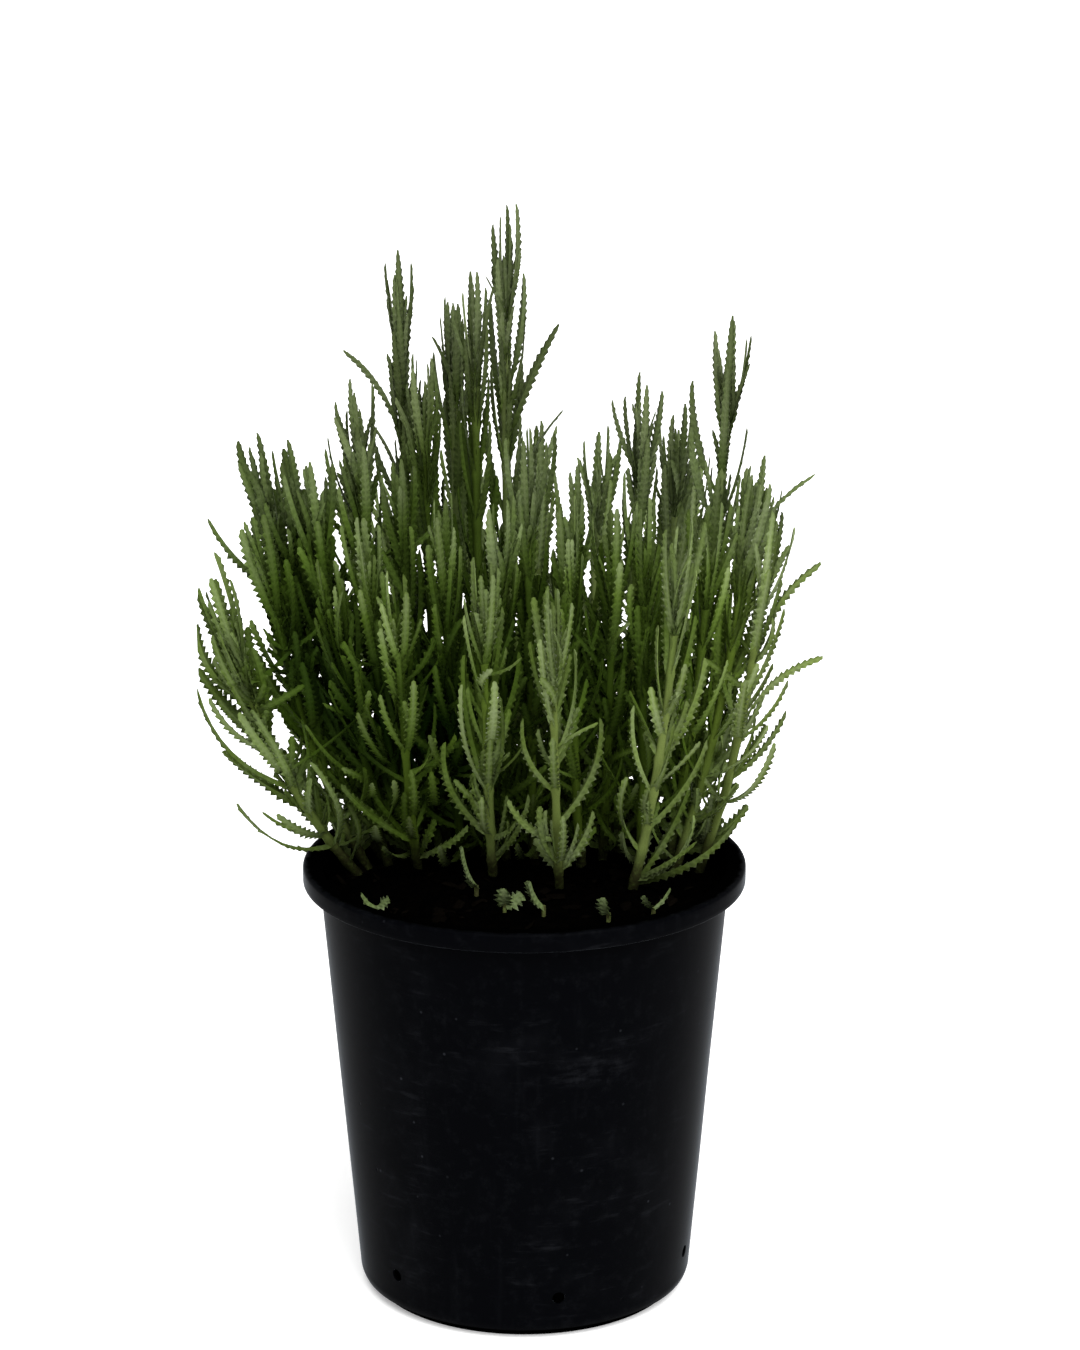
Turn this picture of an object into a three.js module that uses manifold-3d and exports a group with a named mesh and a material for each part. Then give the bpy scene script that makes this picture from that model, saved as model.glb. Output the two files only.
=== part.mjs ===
// A nursery pot of toothed lavender: a round plastic pot, its potting mix, and the leafy shoots that stand in it.
// Millimetres, +Z up. The origin is the centre of the pot's flat base, and the pot's axis is the Z axis.
// A shoot is a square stem with opposite pairs of leaves, each pair a quarter turn on from the last.
import * as THREE from "three";
import { mergeVertices } from "three/addons/utils/BufferGeometryUtils.js";
import Module from "manifold-3d";

const { lerp, smoothstep, degToRad, seededRandom } = THREE.MathUtils;

// ---- driving dimensions ----
const POT = {
  height: 141,
  rimRadius: 70, // outside of the downturned lip
  rimHeight: 5.9,
  shoulderRadius: 64.6, // outside of the wall just under the lip
  baseRadius: 53, // outside of the wall where it meets the base curve
  baseCurve: 6.5, // radius of the rounded edge between wall and base
  wall: 1.2,
  floor: 2,
  segments: 60,
};
const DRAIN = {
  sideHoles: 6, // through the wall, just above the base
  firstAngle: 11.5, // from the front, counter-clockwise seen from above
  sideRadius: 2,
  sideHeight: 14.5,
  holes: 4, // through the floor
  holeRadius: 4,
  holeRing: 24,
  depth: 8,
};
const MIX = { top: 132, dome: 2.5, clearance: 0.4, socketClearance: 0.5, segments: 40 };
const STEM = { width: 2.6, rootDepth: 11, stepLength: 17, bow: 0.7, kneeHeight: 0.45 };
const SPROUT = { width: 1.6, rootDepth: 5, rise: 2.5 };
const LEAF = { width: 5.6, keel: 1.4, widestAt: 0.46, heldBend: 0.07 };
const LEAF_GAP = 0.7; // least gap between a leaf and any piece of another shoot

const LEAF_GREEN = 0x56683f;
const POT_BLACK = 0x14161a;
const MIX_BROWN = 0x17120e;

// ---- the shoots ----
// foot: where the stem leaves the mix. top: the stem's last node. turn: angle of the lowest pair of leaves.
// leaf: leaf length. bare: the share of the stem, from its foot, that only has the leaves listed as held.
// held: leaves with a place of their own. Each has the height of its foot, the position of its tip and, where it
// isn't LEAF.heldBend, how far its middle lies outside a straight leaf, as a share of its length.
const SHOOTS = [
  {
    foot: [-34, 14], top: [-38, -16, 208], nodes: 6, turn: 30, leaf: 34, bare: 0.48,
    held: [
      [139, -18, -2, 153],
      [146, -57, -4, 167],
      [148, -57, 12, 170],
      [165, -28, -12, 196],
      [164, -44, 10, 180],
    ],
  },
  {
    foot: [-10, 5], top: [-12, -22, 213], nodes: 6, turn: 20, leaf: 34, bare: 0.56,
    held: [
      [141, 1, -11, 166],
      [152, -24, -14, 184, 0.14],
      [169, -18, -21, 214],
      [169, -8, -24, 202],
      [155, -6, 14, 182],
    ],
  },
  {
    foot: [11, -7], top: [9, -26, 206], nodes: 6, turn: 70, leaf: 33, bare: 0.72,
    held: [
      [142, 21, -18, 163],
      [144, 5, -20, 165],
      [142, 22, 0, 152],
      [160, 23, -21, 194, 0.12],
      [172, 0, -25, 195, 0.12],
      [181, 19, -12, 204],
      [184, 15, -28, 218],
    ],
  },
  {
    foot: [34, -7], top: [46, -21, 222], nodes: 7, turn: 40, leaf: 35, bare: 0.6,
    held: [
      [138, 52, -19, 162, 0.16],
      [137, 67, -15, 161, 0.12],
      [149, 32, -18, 174, 0.14],
      [158, 56, -18, 186],
      [170, 34, -21, 198],
      [181, 55, -20, 213],
    ],
  },
  { foot: [25, 24], top: [27, -6, 223], nodes: 7, turn: 20, leaf: 36 },
  { foot: [-39, 24], top: [-56, -7, 208], nodes: 6, turn: 35, leaf: 36 },
  {
    foot: [-54, 13], top: [-88, -3, 205], nodes: 7, turn: -5, leaf: 31,
    held: [
      [144, -89, -13, 164, 0.15],
      [166, -101, -8, 200, 0.13],
      [178, -97, -9, 197, 0.1],
      [194, -101, -4, 219, 0.16],
      [201, -96, 0, 241],
    ],
  },
  { foot: [-46, 28], top: [-71, 8, 210], nodes: 6, turn: 35, leaf: 34 },
  {
    foot: [-4, 35], top: [-6, 18, 310], nodes: 12, turn: 55, leaf: 36,
    held: [
      [254, 12, 10, 284, -0.05],
      [274, 12, 18, 309, -0.03],
      [289, 3, 18, 325],
      [308, 1, 15, 347],
    ],
  },
  {
    foot: [-32, 40], top: [-38, 22, 296], nodes: 11, turn: 0, leaf: 36,
    held: [
      [270, -56, 12, 302, -0.1],
      [250, -48, 14, 280, -0.08],
    ],
  },
  { foot: [-13, 27], top: [-15, 8, 294], nodes: 11, turn: 40, leaf: 34 },
  { foot: [-34, 31], top: [-50, 3, 261], nodes: 9, turn: 15, leaf: 34 },
  {
    foot: [47, 24], top: [62, 10, 278], nodes: 10, turn: 80, leaf: 36,
    held: [[258, 52, 10, 293]],
  },
  { foot: [30, 33], top: [36, 15, 260], nodes: 9, turn: 25, leaf: 34 },
  { foot: [-39, 37], top: [-70, 10, 241], nodes: 8, turn: 0, leaf: 34 },
  {
    foot: [-43, 41], top: [-78, 13, 243], nodes: 8, turn: 60, leaf: 33,
    held: [[225, -97, 0, 252]],
  },
  { foot: [14, 36], top: [16, 8, 234], nodes: 7, turn: 10, leaf: 35 },
  {
    foot: [47, 9], top: [68, -2, 238], nodes: 8, turn: 35, leaf: 34,
    held: [[234, 89, -4, 267, -0.12]],
  },
  { foot: [3, 22], top: [1, -6, 248], nodes: 8, turn: 70, leaf: 34 },
  { foot: [39, 41], top: [47, 28, 247], nodes: 8, turn: 45, leaf: 34 },
  { foot: [-19, 48], top: [-22, 28, 282], nodes: 10, turn: 20, leaf: 34 },
  { foot: [-25, 32], top: [-31, 12, 268], nodes: 9, turn: 60, leaf: 33 },
  {
    foot: [56, 14], top: [73, -4, 225], nodes: 7, turn: -5, leaf: 32, bare: 0.3,
    held: [
      [160, 77, -17, 185, 0.12],
      [187, 92, -12, 211, -0.1],
      [206, 91, -8, 240, -0.1],
    ],
  },
  { foot: [55, 22], top: [63, 9, 168], nodes: 2, turn: 10, leaf: 20 },
  { foot: [45, 17], top: [56, -6, 226], nodes: 7, turn: 40, leaf: 34 },
  { foot: [-35, 20], top: [-47, -12, 224], nodes: 6, turn: 75, leaf: 34 },
  { foot: [-20, 20], top: [-24, -10, 229], nodes: 7, turn: 75, leaf: 35 },
  { foot: [-6, 22], top: [-7, -12, 229], nodes: 7, turn: 50, leaf: 34 },
  { foot: [18, 16], top: [14, -10, 228], nodes: 7, turn: 65, leaf: 34 },
  { foot: [37, 13], top: [37, -6, 227], nodes: 7, turn: 70, leaf: 34 },
  { foot: [-36, 47], top: [-54, 55, 228], nodes: 7, turn: 10, leaf: 34 },
  { foot: [-9, 55], top: [-18, 76, 234], nodes: 7, turn: 65, leaf: 34 },
  { foot: [17, 53], top: [24, 76, 228], nodes: 7, turn: 30, leaf: 34 },
  { foot: [35, 46], top: [53, 60, 222], nodes: 7, turn: 80, leaf: 34 },
  { foot: [-51, 20], top: [-77, 4, 220], nodes: 7, turn: 50, leaf: 34 },
  { foot: [49, 31], top: [69, 32, 222], nodes: 6, turn: 0, leaf: 33 },
  { foot: [2, 46], top: [4, 52, 236], nodes: 7, turn: 15, leaf: 34 },
  { foot: [5, 58], top: [3, 80, 212], nodes: 6, turn: 50, leaf: 34 },
  { foot: [-26, 51], top: [-42, 74, 210], nodes: 6, turn: 5, leaf: 34 },
  { foot: [27, 51], top: [43, 72, 206], nodes: 6, turn: 65, leaf: 33 },
  { foot: [-44, 19], top: [-63, 3, 236], nodes: 7, turn: 20, leaf: 34 },
  { foot: [-27, 24], top: [-37, 0, 238], nodes: 7, turn: 35, leaf: 34 },
];

// Young shoots that have only just come up through the mix: where each stands, and the tips of its leaves.
const SPROUTS = [
  { foot: [-15, -11], held: [[-19, -17, 151]], leafWidth: 4.2 },
  { foot: [-46, -26], held: [[-50, -29, 140], [-42, -28, 138]], leafWidth: 3 },
  { foot: [-6, -27], held: [[-6, -30, 142], [-1, -26, 139]], leafWidth: 4.5 },
  { foot: [6, -29], held: [[2, -32, 145], [10, -30, 139]], leafWidth: 4.2 },
  { foot: [26, -34], held: [[25, -36, 141]], leafWidth: 4.5 },
  { foot: [40, -28], held: [[37, -31, 140], [45, -27, 141]], leafWidth: 2.6 },
];

// ---- solids ----
const wasm = await Module();
wasm.setup();

// A closed geometry as a solid that can be joined and cut.
function solidOf(geometry) {
  const bare = geometry.index ? geometry.toNonIndexed() : geometry.clone();
  bare.deleteAttribute("normal");
  bare.deleteAttribute("uv");
  const merged = mergeVertices(bare, 1e-4);
  return new wasm.Manifold(
    new wasm.Mesh({
      numProp: 3,
      vertProperties: merged.attributes.position.array,
      triVerts: new Uint32Array(merged.index.array),
    }),
  );
}

function geometryOf(solid) {
  const { vertProperties, triVerts, numProp, numVert } = solid.getMesh();
  const points = new Float32Array(numVert * 3);
  for (let i = 0; i < numVert; i++) {
    points.set(vertProperties.subarray(i * numProp, i * numProp + 3), i * 3);
  }
  const geometry = new THREE.BufferGeometry();
  geometry.setAttribute("position", new THREE.BufferAttribute(points, 3));
  geometry.setIndex(new THREE.BufferAttribute(triVerts, 1));
  geometry.computeVertexNormals();
  return geometry;
}

function namedMesh(name, solid, color, roughness) {
  const material = new THREE.MeshStandardMaterial({ color, roughness, metalness: 0 });
  const mesh = new THREE.Mesh(geometryOf(solid), material);
  mesh.name = name;
  return mesh;
}

// A closed profile of radius and height, turned about the Z axis.
function turned(profile, segments) {
  const points = profile.map(([radius, height]) => new THREE.Vector2(radius, height));
  return solidOf(new THREE.LatheGeometry(points, segments).rotateX(Math.PI / 2));
}

// Profile points along part of a circle, with the angles in degrees.
function arc(centre, radius, from, to, steps) {
  return Array.from({ length: steps + 1 }, (_, i) => {
    const angle = degToRad(lerp(from, to, i / steps));
    return [centre[0] + radius * Math.cos(angle), centre[1] + radius * Math.sin(angle)];
  });
}

// The outside radius of the pot's wall at a height.
function wallRadius(height) {
  const share = (height - POT.baseCurve) / (POT.height - POT.rimHeight - POT.baseCurve);
  return lerp(POT.baseRadius, POT.shoulderRadius, share);
}

// ---- the pot ----
function potSolid() {
  const { height, rimRadius, rimHeight, baseRadius, baseCurve, wall, floor } = POT;
  const rounding = 0.8; // of the lip's edges
  const underLip = height - rimHeight;
  const inner = (z) => wallRadius(z) - wall;
  const pot = turned(
    [
      [0, 0],
      ...arc([baseRadius - baseCurve, baseCurve], baseCurve, -90, 0, 4),
      [wallRadius(height - wall), height - wall],
      [rimRadius - wall, height - wall],
      [rimRadius - wall, underLip],
      [rimRadius, underLip],
      ...arc([rimRadius - rounding, height - rounding], rounding, 0, 90, 2),
      [inner(height) + rounding, height],
      [inner(height), height - rounding],
      [inner(baseCurve + floor), baseCurve + floor],
      [inner(baseCurve) - baseCurve / 2, floor],
      [0, floor],
    ],
    POT.segments,
  );
  return drains().reduce((cut, drain) => cut.subtract(drain), pot);
}

// Cylinders, evenly spaced round the axis. Each is placed for the front and then turned to its own angle.
function ringOfBores(count, radius, firstAngle, place) {
  return Array.from({ length: count }, (_, i) => {
    const bore = place(new THREE.CylinderGeometry(radius, radius, DRAIN.depth, 14));
    return solidOf(bore.rotateZ(degToRad(firstAngle) + (2 * Math.PI * i) / count));
  });
}

// Level bores through the wall and upright bores through the floor.
function drains() {
  const ring = wallRadius(DRAIN.sideHeight);
  const level = (bore) => bore.translate(0, -ring, DRAIN.sideHeight);
  const upright = (bore) => bore.rotateX(Math.PI / 2).translate(0, -DRAIN.holeRing, 0);
  return [
    ...ringOfBores(DRAIN.sideHoles, DRAIN.sideRadius, DRAIN.firstAngle, level),
    ...ringOfBores(DRAIN.holes, DRAIN.holeRadius, DRAIN.firstAngle + 30, upright),
  ];
}

// ---- the potting mix: the outside of the root ball ----
const mixSide = (height) => wallRadius(height) - POT.wall - MIX.clearance;
const mixHeight = (radius) => MIX.top + MIX.dome * (1 - (radius / mixSide(MIX.top)) ** 2);

function mixSolid() {
  const bottom = POT.floor + MIX.clearance;
  const top = [0.8, 0.5, 0].map((share) => {
    const radius = mixSide(MIX.top) * share;
    return [radius, mixHeight(radius)];
  });
  return turned(
    [
      [0, bottom],
      [mixSide(POT.baseCurve) - POT.baseCurve / 2, bottom],
      [mixSide(POT.baseCurve + POT.floor), POT.baseCurve + POT.floor],
      [mixSide(MIX.top), MIX.top],
      ...top,
    ],
    MIX.segments,
  );
}

// ---- stems ----
// The part of a stem above the mix is one bend, and the part below it runs straight on from the foot.
function stemCurve({ foot, top }, rootDepth) {
  const start = new THREE.Vector3(foot[0], foot[1], mixHeight(Math.hypot(foot[0], foot[1])));
  const end = new THREE.Vector3(...top);
  const knee = start.clone().lerp(end, STEM.bow);
  knee.z = lerp(start.z, end.z, STEM.kneeHeight);
  const lean = knee.clone().sub(start).normalize();
  const root = start.clone().addScaledVector(lean, -rootDepth);
  const rise = new THREE.QuadraticBezierCurve3(start, knee, end);
  const steps = Math.max(1, Math.round(rise.getLength() / STEM.stepLength));
  const curve = new THREE.CatmullRomCurve3([root, ...rise.getSpacedPoints(steps)]);
  return { rise, root, start, lean, curve, steps: steps + 1 };
}

function squareBar(curve, width, steps) {
  const half = width / 2;
  const section = new THREE.Shape([
    new THREE.Vector2(-half, -half),
    new THREE.Vector2(half, -half),
    new THREE.Vector2(half, half),
    new THREE.Vector2(-half, half),
  ]);
  return solidOf(new THREE.ExtrudeGeometry(section, { extrudePath: curve, steps }));
}

// The straight hole in the mix that a stem's lower end stands in.
function socketSolid({ root, start, lean }, width) {
  const deep = root.clone().addScaledVector(lean, -MIX.socketClearance);
  const mouth = start.clone().addScaledVector(lean, 3 * width);
  return squareBar(new THREE.LineCurve3(deep, mouth), width + 2 * MIX.socketClearance, 1);
}

// ---- leaves ----
// A leaf is a three-sided blade from its foot in the stem, through its widest section, to its tip.
// The keel is under the middle of the widest section, on the side away from the stem.
function bladePoints({ foot, middle, tip, axis, width, roll = 0 }) {
  const along = tip.clone().sub(foot).normalize();
  const up = axis.clone().addScaledVector(along, -axis.dot(along)).normalize();
  up.applyAxisAngle(along, roll);
  const side = along.clone().cross(up);
  return {
    foot,
    tip,
    right: middle.clone().addScaledVector(side, width / 2),
    left: middle.clone().addScaledVector(side, -width / 2),
    keel: middle.clone().addScaledVector(up, -LEAF.keel),
  };
}

function bladeSolid({ foot, left, right, keel, tip }) {
  const geometry = new THREE.BufferGeometry().setFromPoints([foot, left, right, keel, tip]);
  geometry.setIndex([1, 2, 4, 2, 3, 4, 3, 1, 4, 2, 1, 0, 3, 2, 0, 1, 3, 0]);
  return solidOf(geometry);
}

// The outer part of a blade, which the other leaves of its own shoot have to clear.
function bladeEnd(points) {
  const middle = points.left.clone().add(points.right).multiplyScalar(0.5);
  return bladeSolid({ ...points, foot: points.foot.clone().lerp(middle, 0.55) });
}

// A leaf that leaves the stem at one angle and then bends some way back towards the stem's direction.
function pairedLeaf({ foot, axis, turn, spread, curl, length, width, roll }) {
  const out = new THREE.Vector3(1, 0, 0).addScaledVector(axis, -axis.x).normalize();
  out.applyAxisAngle(axis, degToRad(turn));
  const toward = (angle) =>
    axis
      .clone()
      .multiplyScalar(Math.cos(degToRad(angle)))
      .addScaledVector(out, Math.sin(degToRad(angle)));
  const middle = foot.clone().addScaledVector(toward(spread), length * LEAF.widestAt);
  const rest = length * (1 - LEAF.widestAt);
  const tip = middle.clone().addScaledVector(toward(spread * (1 - curl)), rest);
  return bladePoints({ foot, middle, tip, axis, width, roll });
}

// A leaf from a place on the stem to a given tip.
function heldLeaf({ foot, axis, tip, width, bend = LEAF.heldBend }) {
  const along = tip.clone().sub(foot);
  const sag = axis.clone().addScaledVector(along, -axis.dot(along) / along.lengthSq());
  sag.normalize().multiplyScalar(-bend * along.length());
  const middle = foot.clone().lerp(tip, LEAF.widestAt).add(sag);
  return bladePoints({ foot, middle, tip, axis, width });
}

// ---- room to grow ----
const standing = []; // every solid that a new leaf has to clear, with the shoot that it belongs to

function stand(owner, solid, end = null) {
  const { min, max } = solid.boundingBox();
  const box = new THREE.Box3(new THREE.Vector3(...min), new THREE.Vector3(...max));
  standing.push({ owner, solid, end, box: box.expandByScalar(LEAF_GAP) });
}

function apart(solid, other, gap) {
  return solid.minGap(other, gap) >= gap;
}

function hasRoom(owner, points, solid, end) {
  const box = new THREE.Box3().setFromPoints(Object.values(points));
  return standing.every((other) => {
    if (!other.box.intersectsBox(box)) return true;
    if (other.owner !== owner) return apart(solid, other.solid, LEAF_GAP);
    if (other.end === null) return true;
    return apart(end, other.solid, LEAF_GAP / 2) && apart(solid, other.end, LEAF_GAP / 2);
  });
}

// Places the first of several versions of a leaf that has room, and gives its solid, or null.
function growLeaf(owner, versions) {
  for (const points of versions) {
    const solid = bladeSolid(points);
    const end = bladeEnd(points);
    if (!hasRoom(owner, points, solid, end)) continue;
    stand(owner, solid, end);
    return solid;
  }
  return null;
}

const NUDGES = [0, 9, -9, 18, -18, 28, -28].flatMap((turn) =>
  [0, 6, -4, 12].map((spread) => ({ turn, spread })),
);

function growPairedLeaf(owner, leaf) {
  const nudged = NUDGES.map(({ turn, spread }) =>
    pairedLeaf({ ...leaf, turn: leaf.turn + turn, spread: Math.max(5, leaf.spread + spread) }),
  );
  return growLeaf(owner, nudged);
}

// ---- growing a shoot ----
// Low leaves are short and spread wide, and high ones are long and stand close to the stem.
function leafHabit(share, shoot) {
  const vary = (range) => range * (seededRandom() - 0.5);
  return {
    spread: lerp(56, 13, smoothstep(share, -0.1, 0.85)) + vary(6),
    curl: 0.5 + vary(0.3),
    length: shoot.leaf * lerp(0.8, 0.98, smoothstep(share, 0, 0.4)) * (1 + vary(0.14)),
    width: LEAF.width * (1 + vary(0.16)),
    roll: vary(0.5),
  };
}

function growPairs(owner, shoot, { rise }) {
  const blades = [];
  for (let node = 0; node < shoot.nodes; node++) {
    const share = (node + 0.35) / (shoot.nodes - 0.65);
    if (share < (shoot.bare ?? 0)) continue;
    const at = Math.min(0.985, share);
    const place = { foot: rise.getPointAt(at), axis: rise.getTangentAt(at) };
    const habit = leafHabit(share, shoot);
    for (const side of [0, 180]) {
      const turn = shoot.turn + 90 * node + side + 16 * (seededRandom() - 0.5);
      blades.push(growPairedLeaf(owner, { ...place, ...habit, turn }));
    }
  }
  return blades;
}

// The youngest pair, which closes the tip of the shoot.
function growTip(owner, shoot, { rise }) {
  const place = { foot: rise.getPointAt(0.99), axis: rise.getTangentAt(1) };
  const habit = { spread: 7, curl: 0.8, width: LEAF.width * 0.9, roll: 0 };
  return [0, 180].map((side) => {
    const length = shoot.leaf * (side ? 0.98 : 1.06);
    const turn = shoot.turn + 90 * shoot.nodes + side;
    return growPairedLeaf(owner, { ...place, ...habit, length, turn });
  });
}

function growHeld(owner, { held = [] }, { rise, start }) {
  return held.map(([height, x, y, z, bend]) => {
    const share = (height - start.z) / (rise.v2.z - start.z);
    const place = { foot: rise.getPoint(share), axis: rise.getTangent(share) };
    const tip = new THREE.Vector3(x, y, z);
    return growLeaf(owner, [heldLeaf({ ...place, tip, width: LEAF.width, bend })]);
  });
}

function growSprout(owner, { held, leafWidth }, { rise }) {
  const place = { foot: rise.getPoint(0.75), axis: new THREE.Vector3(0, 0, 1), width: leafWidth };
  return held.map((tip) => growLeaf(owner, [heldLeaf({ ...place, tip: new THREE.Vector3(...tip) })]));
}

function join(bar, blades) {
  return blades.filter((blade) => blade !== null).reduce((sum, blade) => sum.add(blade), bar);
}

// ---- assembly ----
const pot = potSolid();
const mix = mixSolid();
stand("pot", pot);
stand("potting_mix", mix);

const numbered = (word, i) => `${word}_${String(i + 1).padStart(2, "0")}`;
const shoots = SHOOTS.map((shoot, i) => {
  const stem = stemCurve(shoot, STEM.rootDepth);
  const bar = squareBar(stem.curve, STEM.width, stem.steps);
  return { name: numbered("shoot", i), shoot, stem, bar, socket: socketSolid(stem, STEM.width) };
});
const sprouts = SPROUTS.map((sprout, i) => {
  const [x, y] = sprout.foot;
  const top = [x, y, mixHeight(Math.hypot(x, y)) + SPROUT.rise];
  const stem = stemCurve({ foot: sprout.foot, top }, SPROUT.rootDepth);
  const bar = squareBar(stem.curve, SPROUT.width, stem.steps);
  return { name: numbered("sprout", i), sprout, stem, bar, socket: socketSolid(stem, SPROUT.width) };
});
for (const { name, bar } of [...shoots, ...sprouts]) stand(name, bar);

// Leaves with a place of their own go first, so that the paired ones grow round them.
for (const each of sprouts) each.held = growSprout(each.name, each.sprout, each.stem);
for (const each of shoots) each.held = growHeld(each.name, each.shoot, each.stem);
shoots.forEach((each, i) => {
  seededRandom(101 + i);
  each.tip = growTip(each.name, each.shoot, each.stem);
  each.pairs = growPairs(each.name, each.shoot, each.stem);
});

const plant = new THREE.Group();
const sockets = [...shoots, ...sprouts].map((each) => each.socket);
plant.add(namedMesh("pot", pot, POT_BLACK, 0.55));
plant.add(
  namedMesh("potting_mix", sockets.reduce((sum, socket) => sum.subtract(socket), mix), MIX_BROWN, 0.95),
);
for (const { name, bar, held, tip, pairs } of shoots) {
  plant.add(namedMesh(name, join(bar, [...held, ...tip, ...pairs]), LEAF_GREEN, 0.8));
}
for (const { name, bar, held } of sprouts) plant.add(namedMesh(name, join(bar, held), LEAF_GREEN, 0.8));

export default plant;
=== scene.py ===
"""Potted toothed lavender: the surfaces and finishes of the pot, the potting mix and every leafy shoot."""

import itertools
import math

import bpy
import numpy as np
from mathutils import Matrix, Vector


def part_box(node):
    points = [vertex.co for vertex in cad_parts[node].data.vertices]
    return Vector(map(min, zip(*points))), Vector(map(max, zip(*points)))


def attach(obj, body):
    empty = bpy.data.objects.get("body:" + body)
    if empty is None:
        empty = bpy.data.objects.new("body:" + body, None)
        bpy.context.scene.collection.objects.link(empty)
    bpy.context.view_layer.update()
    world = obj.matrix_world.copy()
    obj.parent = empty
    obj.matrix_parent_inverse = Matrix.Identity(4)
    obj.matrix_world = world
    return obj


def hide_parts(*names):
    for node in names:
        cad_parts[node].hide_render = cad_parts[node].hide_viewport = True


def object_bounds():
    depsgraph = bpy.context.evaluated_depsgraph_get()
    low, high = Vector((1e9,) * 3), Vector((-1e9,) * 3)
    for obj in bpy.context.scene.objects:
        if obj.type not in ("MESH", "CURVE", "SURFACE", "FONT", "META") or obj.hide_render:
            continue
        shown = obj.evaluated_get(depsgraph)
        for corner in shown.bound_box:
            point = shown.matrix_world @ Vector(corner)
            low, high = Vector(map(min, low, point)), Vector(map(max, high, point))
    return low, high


bl_info = {
    "name": "Potted Lavender",
    "version": (1, 0, 0),
    "blender": (4, 5, 0),
    "location": "3D View > Sidebar > Lavender",
    "description": "Builds a nursery pot of toothed lavender around its packed frame",
    "category": "Add Mesh",
}

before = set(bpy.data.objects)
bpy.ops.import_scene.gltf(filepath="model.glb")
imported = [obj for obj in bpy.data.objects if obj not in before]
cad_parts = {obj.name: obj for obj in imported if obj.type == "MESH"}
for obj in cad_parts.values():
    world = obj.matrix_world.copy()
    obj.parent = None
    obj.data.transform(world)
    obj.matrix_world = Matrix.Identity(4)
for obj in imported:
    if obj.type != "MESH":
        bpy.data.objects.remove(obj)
CAD_BOX = [list(corner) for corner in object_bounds()]

MM = 0.001
BODY = "root"
SHOOT_NODES = sorted(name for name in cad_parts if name.startswith("shoot_"))
SPROUT_NODES = sorted(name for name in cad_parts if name.startswith("sprout_"))
MIX_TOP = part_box("potting_mix")[1].z
PLANT_TOP = CAD_BOX[1][2]

LEAF_MIDDLE = 0.46  # where a leaf's widest ring stands, as a share of its length
BLADE_END = 0.965  # where the last notch stands, before the rounded tip
LOW_CUT = (0.52, 0.56)  # depth of a notch over half the leaf's width, and share of the width lost at the tip
HIGH_CUT = (0.38, 0.74)  # the same, for leaves near the top of the plant
HIGH_LEAF = 226 * MM  # a leaf whose foot stands above this has the high cut
KEEL, MARGIN = -0.26, -0.1  # heights of the midrib's underside and of the teeth, in half widths
TWIST = 0.42  # spread of the leaves' turn about their spine, in radians
CROWD_REACH = 24 * MM  # how far off a leaf still counts as a neighbour
TALL_SHOOT = 232 * MM  # a shoot that ends above this closes in a longer bunch
LEFT_SHOOT, RIGHT_SHOOT = -48 * MM, 30 * MM  # where the shoots that lean out on each side begin
SHOOT_SEED, MIX_SEED = 700, 41
# partly mud and partly painted shade near the mix
SPROUT_MUD_AND_SHADE = 0.25  # how far the sprouts are darkened by the mix
WHITE = (1, 1, 1, 1)


# ---- shapes from numbers ----
def unit(vectors):
    """Each vector over its own length."""
    return vectors / np.linalg.norm(vectors, axis=-1, keepdims=True)


def smooth_step(low, high, value):
    """0 below low, 1 above high, and the cubic 3x^2 - 2x^3 of the share between them."""
    share = np.clip((value - low) / (high - low), 0, 1)
    return share * share * (3 - 2 * share)


def lattice_noise(points, pitch, seed):
    """Random numbers from -1 to 1 on a cubic lattice of the given pitch, with smooth steps in between."""
    table = np.random.default_rng(seed).uniform(-1, 1, (32, 32, 32))
    cell = np.floor(points / pitch).astype(int)
    share = points / pitch - cell
    share = share * share * (3 - 2 * share)
    total = np.zeros(points.shape[:-1])
    for corner in itertools.product((0, 1), repeat=3):
        weight = np.where(corner, share, 1 - share).prod(axis=-1)
        at = (cell + corner) % 32
        total += weight * table[at[..., 0], at[..., 1], at[..., 2]]
    return total


def grid_faces(rows, columns):
    """Quads between neighbouring rows and columns of a grid whose last column joins its first."""
    row = np.arange(rows - 1)[:, None] * columns
    column = np.arange(columns)[None, :]
    beside = (column + 1) % columns
    quads = [row + column, row + beside, row + columns + beside, row + columns + column]
    return np.stack(quads, axis=-1).reshape(-1, 4)


def tube_faces(rows, columns):
    """The same quads, and one face that closes each end."""
    end = np.arange(columns)[None]
    return [grid_faces(rows, columns), end[:, ::-1], end + (rows - 1) * columns]


def level_way(angle):
    """The level unit vectors at the given angles from the X axis."""
    return np.stack([np.cos(angle), np.sin(angle), np.zeros(len(angle))], axis=-1)


def turned_grid(radius, height, segments):
    """A profile of radius and height turned about Z: x and y are the radius times cosine and sine."""
    angle = np.arange(segments) * 2 * math.pi / segments
    x = radius[:, None] * np.cos(angle)
    y = radius[:, None] * np.sin(angle)
    return np.stack([x, y, np.broadcast_to(height[:, None], x.shape)], axis=-1)


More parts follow.
